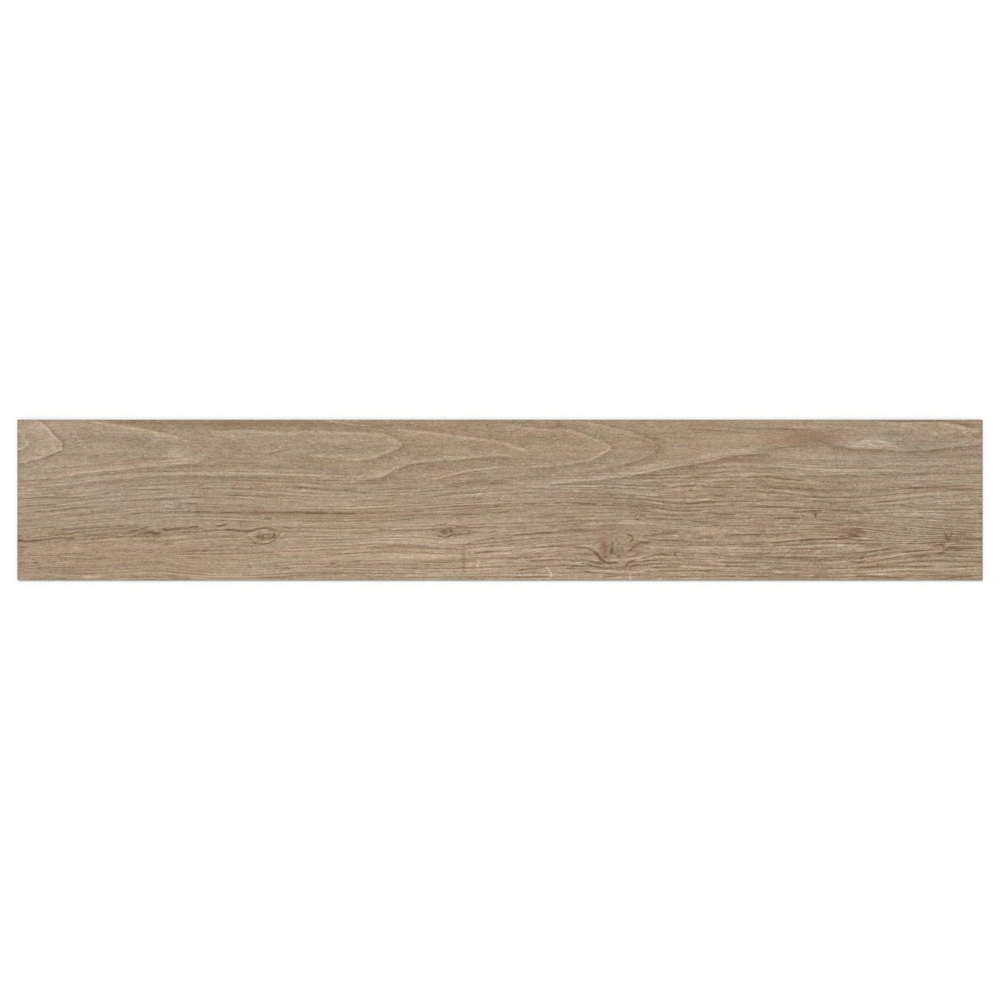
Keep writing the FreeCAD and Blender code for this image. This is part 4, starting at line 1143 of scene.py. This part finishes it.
def smooth_course(points):
    """A Catmull-Rom curve through the drawn points."""
    knots = to_metres(points)
    knots = np.vstack([2 * knots[0] - knots[1], knots, 2 * knots[-1] - knots[-2]])
    course = []
    for before, start, end, after in zip(knots, knots[1:], knots[2:], knots[3:]):
        for step in range(COURSE_STEPS):
            t = step / COURSE_STEPS
            bend = 2 * start + (end - before) * t + (2 * before - 5 * start + 4 * end - after) * t**2
            course.append((bend + (3 * start - before - 3 * end + after) * t**3) / 2)
    course.append(knots[-2])
    return np.array(course)


def measure_from(course, places):
    """How far places lie from the course, positive on its left hand, and how far along it, 0 to 1."""
    starts = course[:-1]
    runs = course[1:] - starts
    lengths = np.linalg.norm(runs, axis=1)
    offsets = places[:, None, :] - starts[None]
    shares = np.clip((offsets * runs).sum(-1) / lengths**2, 0.0, 1.0)
    gaps = offsets - shares[..., None] * runs
    distances = np.linalg.norm(gaps, axis=-1)
    nearest = distances.argmin(axis=1)
    rows = np.arange(len(places))
    turn = runs[nearest, 0] * gaps[rows, nearest, 1] - runs[nearest, 1] * gaps[rows, nearest, 0]
    travelled = np.concatenate([[0.0], np.cumsum(lengths)])
    along = travelled[nearest] + shares[rows, nearest] * lengths[nearest]
    return distances[rows, nearest] * np.where(turn >= 0, 1.0, -1.0), along / travelled[-1]


def near(course, places, reach):
    """The places that lie within reach of the course's own box."""
    low = course.min(axis=0) - reach
    high = course.max(axis=0) + reach
    return np.flatnonzero(((places >= low) & (places <= high)).all(axis=1))


def eased(share):
    """A rise from 0 to 1 that starts and ends softly."""
    rise = np.clip(share, 0.0, 1.0)
    return rise * rise * (3 - 2 * rise)


def draw_line(values, places, strength, width, points, beside=0.0):
    """Adds one soft line to the values at the places, and keeps the stronger where lines cross."""
    course = smooth_course(points)
    spread = max(width * PIXEL / 2, THINNEST_SPREAD)
    picked = near(course, places, STROKE_REACH * spread + abs(beside))
    distance, along = measure_from(course, places[picked])
    ends = eased(np.minimum(along, 1 - along) / LINE_TAPER)
    drawn = strength * ends * np.exp(-(((distance - beside) / spread) ** 2))
    values[picked] = np.maximum(values[picked], drawn)


def draw_ring(dark, pale, places, darkness, paleness, reach, points):
    """Adds one annual ring: a sharp dark side that fades outwards and a pale lip inside it."""
    course = smooth_course(points)
    fade = reach * PIXEL
    picked = near(course, places, STROKE_REACH * fade)
    distance, along = measure_from(course, places[picked])
    ends = eased(np.minimum(along, 1 - along) / RING_TAPER)
    edge = np.clip(distance / (RING_EDGE * PIXEL) + 0.5, 0.0, 1.0)
    outside = darkness * ends * edge * np.exp(-np.maximum(distance, 0) / fade)
    lip = RING_LIP * PIXEL
    inside = paleness * ends * np.exp(-(((distance + lip) / lip) ** 2))
    dark[picked] = np.maximum(dark[picked], outside)
    pale[picked] = np.maximum(pale[picked], inside)


def soft_spot(places, place, half_length, half_height):
    """A round-shouldered spot with the value 1 in its middle."""
    offset = (places - to_metres(place)) / (np.array([half_length, half_height]) * PIXEL)
    return np.exp(-(offset**2).sum(axis=1))


def thin_plate(distance):
    """The kernel of a thin bent plate."""
    return np.where(distance > 0, distance**2 * np.log(np.maximum(distance, NO_DISTANCE)), 0.0)


def fibre_heights(places):
    """How far each place has been carried up or down from its fibre's level height."""
    knots, levels = [], []
    for level, points in GUIDES:
        knots.extend(points)
        levels.extend([level] * len(points))
    knots = to_metres(knots)
    carried = knots[:, 1] - (CENTRE_Y - np.array(levels)) * PIXEL
    plane = np.column_stack([np.ones(len(knots)), knots])
    stretch = np.array(GUIDE_STRETCH)
    gaps = np.linalg.norm((knots[:, None] - knots[None]) * stretch, axis=-1)
    bent = thin_plate(gaps) + GUIDE_GIVE * np.eye(len(knots))
    system = np.block([[bent, plane], [plane.T, np.zeros((3, 3))]])
    weights = np.linalg.solve(system, np.concatenate([carried, np.zeros(3)]))
    lifted = np.column_stack([np.ones(len(places)), places]) @ weights[-3:]
    for knot, weight in zip(knots, weights):
        lifted += weight * thin_plate(np.linalg.norm((places - knot) * stretch, axis=1))
    for place, half_length, half_height in KNOTS:
        above = places[:, 1] - to_metres(place)[1]
        lifted += KNOT_PUSH * above * soft_spot(places, place, half_length, half_height)
    return lifted


def line_strength(places):
    """How strongly the fine growth lines show: 0 where the board is cut flat, and about 1 below that."""
    course = to_metres(LINES_BEGIN)
    depth = np.interp(places[:, 0], course[:, 0], course[:, 1]) - places[:, 1]
    strength = eased(depth / (LINES_SOFT * PIXEL) + 0.5)
    for change, place, half_length, half_height in LINE_CHANGES:
        strength += change * strength * soft_spot(places, place, half_length, half_height)
    return strength


def draw_figure(places):
    """The figure's values at every place of the glazed face."""
    dark, pale, tone, rust, warm, rose = np.zeros((6, len(places)))
    for darkness, paleness, reach, points in RINGS:
        draw_ring(dark, pale, places, darkness, paleness, reach, points)
    for strength, width, points in DARK_LINES:
        draw_line(dark, places, strength, width, points)
        draw_line(pale, places, PALE_SIDE * strength, width, points, (PALE_SIDE_OFF + width / 2) * PIXEL)
    for strength, width, points in PALE_LINES:
        draw_line(pale, places, strength, width, points)
    for strength, place, half_length, half_height in SPOTS:
        spot = abs(strength) * soft_spot(places, place, half_length, half_height)
        if strength > 0:
            dark = np.maximum(dark, spot)
        else:
            pale = np.maximum(pale, spot)
            dark *= 1 - np.minimum(spot * PALE_CLEARS, 1.0)
    for strength, place, half_length, half_height in SHADES:
        tone += strength * soft_spot(places, place, half_length, half_height)
    for warmer, rosier, place, half_length, half_height in HUES:
        spot = soft_spot(places, place, half_length, half_height)
        warm += warmer * spot
        rose += rosier * spot
    for strength, place, half_length, half_height in STAINS:
        rust = np.maximum(rust, strength * soft_spot(places, place, half_length, half_height))
    figure = {"dark": dark, "pale": pale, "tone": tone, "rust": rust, "warm": warm, "rose": rose}
    figure["lined"] = line_strength(places)
    figure["fibre"] = fibre_heights(places)
    return figure


def column_places():
    """Where the columns of the face's mesh stand, from end to end."""
    reach = LENGTH / 2 - FACE_BEVEL
    fine = np.linspace(-reach, reach, TRIAL_COLUMNS)
    density = np.full(len(fine), 1 / COARSE_COLUMN)
    for middle, half_width in FINE_STRETCHES:
        offset = (fine - to_metres((middle, 0))[0]) / (half_width * PIXEL)
        density = np.maximum(density, (1 / FINE_COLUMN) * np.exp(-(offset**4)))
    filled = np.concatenate([[0.0], np.cumsum((density[1:] + density[:-1]) / 2 * np.diff(fine))])
    count = int(round(filled[-1]))
    return np.interp(np.linspace(0, filled[-1], count + 1), filled, fine)


def streaks(rows, columns, seed, along, across):
    """Seeded streaks that run along the plank, between about -1 and 1, on the face's mesh."""
    chance = np.random.default_rng(seed).normal(size=(rows, columns))
    for axis, width in ((1, along), (0, across)):
        reach = np.arange(-STREAK_TAIL * width, STREAK_TAIL * width + 1)
        kernel = np.exp(-0.5 * (reach / width) ** 2)
        chance = np.apply_along_axis(lambda line: np.convolve(line, kernel, mode="same"), axis, chance)
    return chance / (STREAK_SPREAD * chance.std())


def face_grid():
    """Corners of the glazed face's mesh, as rows of columns, and the figure's values at them."""
    xs = column_places()
    ys = np.linspace(-WIDTH / 2 + FACE_BEVEL, WIDTH / 2 - FACE_BEVEL, ROWS + 1)
    grid_x, grid_y = np.meshgrid(xs, ys)
    places = np.column_stack([grid_x.ravel(), grid_y.ravel()])
    figure = draw_figure(places)
    sunk = DARK_SINKS * np.minimum(figure["dark"], 1.0)
    for share, seed, along, across in STREAKS_SINK:
        sunk += share * streaks(len(ys), len(xs), seed, along, across).ravel()
    sunk = (sunk - sunk.min()) / (sunk.max() - sunk.min()) * RELIEF_DEPTH
    corners = np.column_stack([places, TOP - sunk]).reshape(len(ys), len(xs), 3)
    sunk = sunk.reshape(len(ys), -1)
    corners[:, 0, 0] -= sunk[:, 0]
    corners[:, -1, 0] += sunk[:, -1]
    corners[0, :, 1] -= sunk[0]
    corners[-1, :, 1] += sunk[-1]
    return corners, figure


def back_mesh(node):
    """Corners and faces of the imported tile's back: its rim, its cells and the blunted edge round it."""
    work = bmesh.new()
    work.from_mesh(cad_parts[node].data)
    bmesh.ops.remove_doubles(work, verts=work.verts, dist=WELD)
    upper = [face for face in work.faces if face.calc_center_median().z > BACK_RELIEF_TOP]
    bmesh.ops.delete(work, geom=upper, context="FACES")
    work.verts.index_update()
    corners = [tuple(vert.co) for vert in work.verts]
    faces = [tuple(vert.index for vert in face.verts) for face in work.faces]
    work.free()
    return corners, faces


def border_of(rows, columns):
    """Indices of the grid's border, once round from the corner at the lowest X and Y."""
    front = list(range(columns))
    right = [row * columns + columns - 1 for row in range(1, rows)]
    back = [(rows - 1) * columns + column for column in range(columns - 2, -1, -1)]
    left = [row * columns for row in range(rows - 2, 0, -1)]
    return front + right + back + left


def bevel_foot(corner, row, column, rows, columns):
    """The corner at the foot of the bevel, below this corner of the face's border."""
    x, y, _ = corner
    if column in (0, columns - 1):
        x = math.copysign(LENGTH / 2, x)
    if row in (0, rows - 1):
        y = math.copysign(WIDTH / 2, y)
    return [x, y, TOP - FACE_BEVEL]


def corner_like(corners, place):
    """The index of the corner at this place."""
    gaps = np.linalg.norm(np.asarray(corners) - np.array(place), axis=1)
    return int(gaps.argmin())


def side_faces(lower, feet, rows, columns):
    """The tile's four sides, each between two feet and the run of bevel corners above them."""
    turns = [0, columns - 1, columns + rows - 2, 2 * columns + rows - 3, len(lower)]
    sides = []
    for side in range(4):
        run = [lower[step % len(lower)] for step in range(turns[side], turns[side + 1] + 1)]
        sides.append([feet[side], feet[(side + 1) % 4]] + run[::-1])
    return sides


def carry_figure(mesh, figure, border):
    """Stores the figure on the mesh, and repeats the border's values at the foot of the bevel."""
    for name, values in figure.items():
        padded = np.zeros(len(mesh.vertices))
        padded[: len(values)] = values
        padded[len(values) : len(values) + len(border)] = values[border]
        mesh.attributes.new(name, "FLOAT", "POINT").data.foreach_set("value", padded)


def tile_mesh():
    """One closed mesh: the drawn face, its bevel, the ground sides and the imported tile's own back."""
    grid, figure = face_grid()
    rows, columns = grid.shape[:2]
    corners = grid.reshape(-1, 3).tolist()
    index = np.arange(rows * columns).reshape(rows, columns)
    quads = [index[:-1, :-1], index[:-1, 1:], index[1:, 1:], index[1:, :-1]]
    faces = np.stack(quads, axis=-1).reshape(-1, 4).tolist()
    finishes = [FACE] * len(faces)
    border = border_of(rows, columns)
    lower = list(range(len(corners), len(corners) + len(border)))
    corners.extend([bevel_foot(corners[spot], *divmod(spot, columns), rows, columns) for spot in border])
    for step, spot in enumerate(border):
        after = (step + 1) % len(border)
        faces.append([spot, lower[step], lower[after], border[after]])
        finishes.append(SIDE)
    back_corners, back_faces = back_mesh(NODE)
    base = len(corners)
    corners.extend(back_corners)
    faces.extend([[base + spot for spot in face] for face in back_faces])
    finishes.extend([BACK] * len(back_faces))
    ends = [(x * LENGTH / 2, y * WIDTH / 2, BACK_ARRIS) for x, y in ONCE_ROUND]
    feet = [base + corner_like(back_corners, end) for end in ends]
    sides = side_faces(lower, feet, rows, columns)
    faces.extend(sides)
    finishes.extend([SIDE] * len(sides))
    mesh = bpy.data.meshes.new("tile")
    mesh.from_pydata(corners, [], faces)
    mesh.polygons.foreach_set("material_index", finishes)
    mesh.polygons.foreach_set("use_smooth", [finish == FACE for finish in finishes])
    carry_figure(mesh, figure, border)
    mesh.update()
    return mesh


def linear(red, green, blue):
    """A colour given in the photo's 0 to 255 steps, as Blender's linear colour."""
    steps = np.array([red, green, blue]) / 255
    return np.where(steps <= 0.04045, steps / 12.92, ((steps + 0.055) / 1.055) ** 2.4).tolist() + [1.0]


class Graph:
    """A material's nodes, with short calls for the kinds that this file uses."""

    def __init__(self, name, specular):
        self.material = bpy.data.materials.new(name)
        self.material.use_nodes = True
        self.tree = self.material.node_tree
        self.shader = self.tree.nodes["Principled BSDF"]
        self.shader.inputs["Specular IOR Level"].default_value = specular
        self.place = self.put("ShaderNodeTexCoord", {}).outputs["Object"]

    def put(self, kind, values, **settings):
        """A node with its settings, and with its inputs set or linked."""
        made = self.tree.nodes.new(kind)
        for name, value in settings.items():
            setattr(made, name, value)
        for name, value in values.items():
            if isinstance(value, bpy.types.NodeSocket):
                self.tree.links.new(value, made.inputs[name])
            else:
                made.inputs[name].default_value = value
        return made

    def math(self, operation, *values, clamp=False):
        """A calculation on up to three values."""
        made = self.put("ShaderNodeMath", dict(enumerate(values)), operation=operation, use_clamp=clamp)
        return made.outputs[0]

    def blend(self, first, found, weights):
        """A value, plus each of the named values with its weight."""
        total = first
        for name, weight in weights.items():
            total = self.math("MULTIPLY_ADD", found[name], weight, total)
        return total

    def value(self, name):
        """A value that the mesh carries."""
        made = self.put("ShaderNodeAttribute", {}, attribute_name=name, attribute_type="GEOMETRY")
        return made.outputs["Fac"]

    def axes(self):
        """X, Y and Z of the place."""
        return self.put("ShaderNodeSeparateXYZ", {0: self.place}).outputs

    def noise(self, kind, x, y, z, shift=0.0):
        """One of the noises at a place, around 0 and from about -1 to 1."""
        sizes, seed, detail, roughness = NOISES[kind]
        off = seed + shift + OFF_LATTICE
        scaled = [self.math("MULTIPLY_ADD", axis, 1 / size, off) for axis, size in zip((x, y, z), sizes)]
        where = self.put("ShaderNodeCombineXYZ", dict(enumerate(scaled))).outputs[0]
        values = {"Vector": where, "Scale": 1.0, "Detail": detail, "Roughness": roughness}
        made = self.put("ShaderNodeTexNoise", values, noise_dimensions="3D")
        return self.math("MULTIPLY_ADD", made.outputs["Fac"], NOISE_GAIN, -NOISE_GAIN / 2)

    def noises(self, kinds, x, y, z):
        """Several noises at a place, by their names."""
        return {kind: self.noise(kind, x, y, z) for kind in kinds}

    def above(self, value, low, high):
        """0 up to low, 1 from high, and a smooth rise between them."""
        values = {"Value": value, "From Min": low, "From Max": high}
        return self.put("ShaderNodeMapRange", values, interpolation_type="SMOOTHSTEP").outputs[0]

    def ramp(self, value, tones):
        """A colour for a value from 0 to 1, through evenly spaced tones."""
        made = self.put("ShaderNodeValToRGB", {"Fac": value})
        elements = made.color_ramp.elements
        while len(elements) < len(tones):
            elements.new(0.5)
        for step, (element, tone) in enumerate(zip(elements, tones)):
            element.position = step / (len(tones) - 1)
            element.color = linear(*tone)
        return made.outputs["Color"]

    def mix(self, share, first, second, way="MIX"):
        """The first colour, and the second laid over it in this share."""
        made = self.put("ShaderNodeMix", {0: share, 6: first, 7: second}, data_type="RGBA", blend_type=way)
        return made.outputs[2]

    def bump(self, height, distance):
        """Small relief, of this height in metres where the value rises by 1."""
        made = self.put("ShaderNodeBump", {"Height": height, "Distance": distance, "Strength": 1.0})
        self.tree.links.new(made.outputs[0], self.shader.inputs["Normal"])

    def finish(self, colour, roughness):
        """Gives the shader its colour and its roughness, and returns the material."""
        self.tree.links.new(colour, self.shader.inputs["Base Color"])
        self.tree.links.new(roughness, self.shader.inputs["Roughness"])
        return self.material


def wood_tone(grey):
    """The print's red, green and blue at a grey."""
    return [grey + float(np.interp(grey, (DARKEST, MIDDLE, PALEST), offsets)) for offsets in PRINT_OFFSETS]


def grain(graph):
    """The print's grey on the glazed face, and the noises and figure values that make it."""
    x, y, z = graph.axes()
    fibre_y = graph.math("SUBTRACT", y, graph.value("fibre"))
    found = graph.noises(PRINT_NOISES, x, fibre_y, z)
    found["sand"] = graph.noise("sand", x, y, z)
    found["dark rings"], found["light rings"] = growth_lines(graph, x, fibre_y, z)
    found["gleams"] = graph.above(found["dashes"], *GLEAMS_SHOW)
    vessels = graph.math("MULTIPLY_ADD", graph.value("dark"), DARK_HAS_PORES, found["vessels"])
    found["pores"] = graph.above(vessels, *PORES_SHOW)
    found["tone"] = graph.value("tone")
    broken = graph.math("MULTIPLY_ADD", found["breaks"], *INK_BREAKS)
    found["ink"] = graph.math("MULTIPLY", graph.value("dark"), broken)
    broken = graph.math("MULTIPLY_ADD", found["short fibres"], *SHINE_BREAKS)
    found["shine"] = graph.math("MULTIPLY", graph.value("pale"), broken)
    lined = graph.value("lined")
    found["flat"] = graph.math("SUBTRACT", 1.0, lined, clamp=True)
    streaky = graph.blend(0.0, found, LINED_GREYS)
    stronger = graph.math("MULTIPLY_ADD", graph.above(x, *RIGHT_END), RIGHT_GAIN, 1.0)
    streaky = graph.math("MULTIPLY", graph.math("MULTIPLY", streaky, stronger), lined)
    sandy = graph.math("MULTIPLY", graph.blend(0.0, found, FLAT_GREYS), found["flat"])
    grey = graph.blend(graph.math("ADD", streaky, sandy), found, FIGURE_GREYS)
    grey = graph.math("ADD", grey, MIDDLE + LEVEL_GREYS)
    return graph.math("MULTIPLY_ADD", found["pores"], PORE_GREYS, grey), found


def growth_lines(graph, x, fibre_y, z):
    """Fine rings a few millimetres apart: thin broken dark lines, and the paler wood between them."""
    dark, light = 0.0, 0.0
    for apart, shift in LINE_FAMILIES:
        found = {kind: graph.noise(kind, x, fibre_y, z, shift) for kind in ("drift", "wander", "shown")}
        level = graph.math("MULTIPLY_ADD", fibre_y, 1 / apart, LINES_COUNTED)
        count = graph.blend(level, found, LINE_WAVES)
        middle = graph.math("ABSOLUTE", graph.math("SUBTRACT", graph.math("FRACT", count), 0.5))
        drawn = graph.above(found["shown"], *LINES_SHOW)
        line = graph.math("SUBTRACT", 1.0, graph.above(middle, 0.0, LINE_HALF_WIDTH / apart))
        dark = graph.math("MAXIMUM", dark, graph.math("MULTIPLY", line, drawn))
        light = graph.math("MAXIMUM", light, graph.math("MULTIPLY", graph.above(middle, *PALE_WOOD), drawn))
    return dark, light


def hue_shift(graph):
    """Factors on red, green and blue that lean the print towards rose or olive, and cream or grey."""
    found = graph.noises(HUE_NOISES, *graph.axes())
    leans = {name: graph.blend(graph.value(name), found, {name: gain}) for name, gain in HUE_NOISES.items()}
    channels = [graph.blend(1.0, leans, factors) for factors in HUE_FACTORS]
    return graph.put("ShaderNodeCombineXYZ", dict(enumerate(channels))).outputs[0]


def face_glaze():
    """The printed, matt glazed face: an oak board's figure under a thin glaze."""
    graph = Graph("oak_print_glaze", FACE_SPECULAR)
    grey, found = grain(graph)
    values = {"Value": grey, "From Min": DARKEST, "From Max": PALEST}
    share = graph.put("ShaderNodeMapRange", values).outputs[0]
    wood = graph.ramp(share, [wood_tone(step) for step in np.linspace(DARKEST, PALEST, PRINT_TONES)])
    stained = graph.mix(graph.math("MULTIPLY", graph.value("rust"), STAIN_SHARE), wood, linear(*STAIN_TONE))
    graph.bump(graph.blend(0.0, found, FACE_BUMPS), FACE_BUMP_HEIGHT)
    return graph.finish(
        graph.mix(1.0, stained, hue_shift(graph), "MULTIPLY"),
        graph.blend(FACE_ROUGHNESS, found, FACE_ROUGHER),
    )


def ground_side():
    """The sides and bevel that the squaring wheels leave: bare body, engobe and the glaze's cut edge."""
    graph = Graph("ground_porcelain", SIDE_SPECULAR)
    x, y, z = graph.axes()
    found = graph.noises(("scratches", "side clouds"), graph.math("ADD", x, y), z, z)
    found["side specks"] = graph.noise("side specks", x, y, z)
    body = graph.ramp(graph.blend(MIDDLE_TONE, found, SIDE_VARIES), SIDE_TONES)
    wavy = graph.blend(z, found, {"side clouds": LAYER_WAVES})
    engobe = graph.mix(graph.above(wavy, *ENGOBE_BEGINS), body, linear(*ENGOBE_TONE))
    printed = graph.mix(graph.above(wavy, *GLAZE_BEGINS), engobe, linear(*GLAZE_EDGE_TONE))
    graph.bump(graph.blend(0.0, found, SIDE_BUMPS), SIDE_BUMP_HEIGHT)
    return graph.finish(printed, graph.blend(SIDE_ROUGHNESS, found, SIDE_ROUGHER))


def fired_back():
    """The pressed back: unglazed body, with a thin whitish kiln wash rubbed off on the rib crests."""
    graph = Graph("unglazed_porcelain", BACK_SPECULAR)
    x, y, z = graph.axes()
    found = graph.noises(("back specks", "back clouds"), x, y, z)
    body = graph.ramp(graph.blend(MIDDLE_TONE, found, BACK_VARIES), BACK_TONES)
    crest = graph.math("SUBTRACT", 1.0, graph.above(z, *CREST_HEIGHTS))
    patches = graph.above(graph.blend(WASH_SPREAD, found, WASH_VARIES), *WASH_SHOWS)
    washed = graph.math("MULTIPLY", graph.math("MULTIPLY", crest, patches), WASH_SHARE)
    graph.bump(found["back specks"], BACK_BUMP_HEIGHT)
    colour = graph.mix(washed, body, linear(*WASH_TONE))
    return graph.finish(colour, graph.blend(BACK_ROUGHNESS, found, BACK_ROUGHER))


def build_tile():
    """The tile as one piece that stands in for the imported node."""
    mesh = tile_mesh()
    for material in (face_glaze(), ground_side(), fired_back()):
        mesh.materials.append(material)
    tile = bpy.data.objects.new("tile", mesh)
    bpy.context.scene.collection.objects.link(tile)
    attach(tile, "root")
    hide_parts(NODE)


def build_camera():
    """Straight above the tile, framed as in the photo."""
    view_width = PHOTO_SIZE * PIXEL
    lens = bpy.data.cameras.new("camera")
    lens.sensor_width = SENSOR
    lens.lens = SENSOR * (CAMERA_HEIGHT - TOP) / view_width
    lens.clip_end = FARTHEST_SEEN
    camera = bpy.data.objects.new("camera", lens)
    camera.location = (*to_metres((PHOTO_SIZE / 2, PHOTO_SIZE / 2)), CAMERA_HEIGHT)
    bpy.context.scene.collection.objects.link(camera)
    bpy.context.scene.camera = camera


def seen_share(tree):
    """1 for what the camera, a reflection or a clear material shows, and 0 for light that bounces."""
    path = tree.nodes.new("ShaderNodeLightPath")
    shown = path.outputs["Is Camera Ray"]
    for name in ("Is Glossy Ray", "Is Transmission Ray"):
        either = tree.nodes.new("ShaderNodeMath")
        either.operation = "MAXIMUM"
        tree.links.new(shown, either.inputs[0])
        tree.links.new(path.outputs[name], either.inputs[1])
        shown = either.outputs[0]
    return shown


def build_floor():
    """A plain pale floor that shows white and keeps the tile's shadow."""
    mesh = bpy.data.meshes.new("floor")
    ends = [(x * FLOOR_REACH, y * FLOOR_REACH, -FLOOR_GAP) for x, y in ONCE_ROUND]
    mesh.from_pydata(ends, [], [(0, 1, 2, 3)])
    floor = bpy.data.objects.new("floor", mesh)
    bpy.context.scene.collection.objects.link(floor)
    graph = Graph("pale_floor", FLOOR_SPECULAR)
    colour = graph.mix(seen_share(graph.tree), FLOOR_BOUNCES, WHITE)
    graph.tree.links.new(colour, graph.shader.inputs["Base Color"])
    graph.shader.inputs["Roughness"].default_value = FLOOR_ROUGHNESS
    mesh.materials.append(graph.material)


def build_world():
    """A white surround that gives part of the plain light."""
    world = bpy.data.worlds.new("studio")
    world.use_nodes = True
    tree = world.node_tree
    background = tree.nodes["Background"]
    background.inputs["Color"].default_value = WHITE
    strength = tree.nodes.new("ShaderNodeMapRange")
    strength.inputs["To Min"].default_value = DAYLIGHT
    strength.inputs["To Max"].default_value = 1.0
    tree.links.new(seen_share(tree), strength.inputs["Value"])
    tree.links.new(strength.outputs[0], background.inputs["Strength"])
    bpy.context.scene.world = world


def build_lamp(name, lean, bearing, softness, strength):
    """A distant soft lamp, leaning away from upright towards a bearing."""
    light = bpy.data.lights.new(name, "SUN")
    light.angle = math.radians(softness)
    light.energy = strength
    lamp = bpy.data.objects.new(name, light)
    lamp.rotation_euler = (0.0, math.radians(lean), math.radians(bearing))
    bpy.context.scene.collection.objects.link(lamp)


build_camera()
build_floor()
build_world()
for name, lamp in LAMPS.items():
    build_lamp(name, *lamp)
build_tile()
bpy.context.scene.view_settings.view_transform = "Standard"
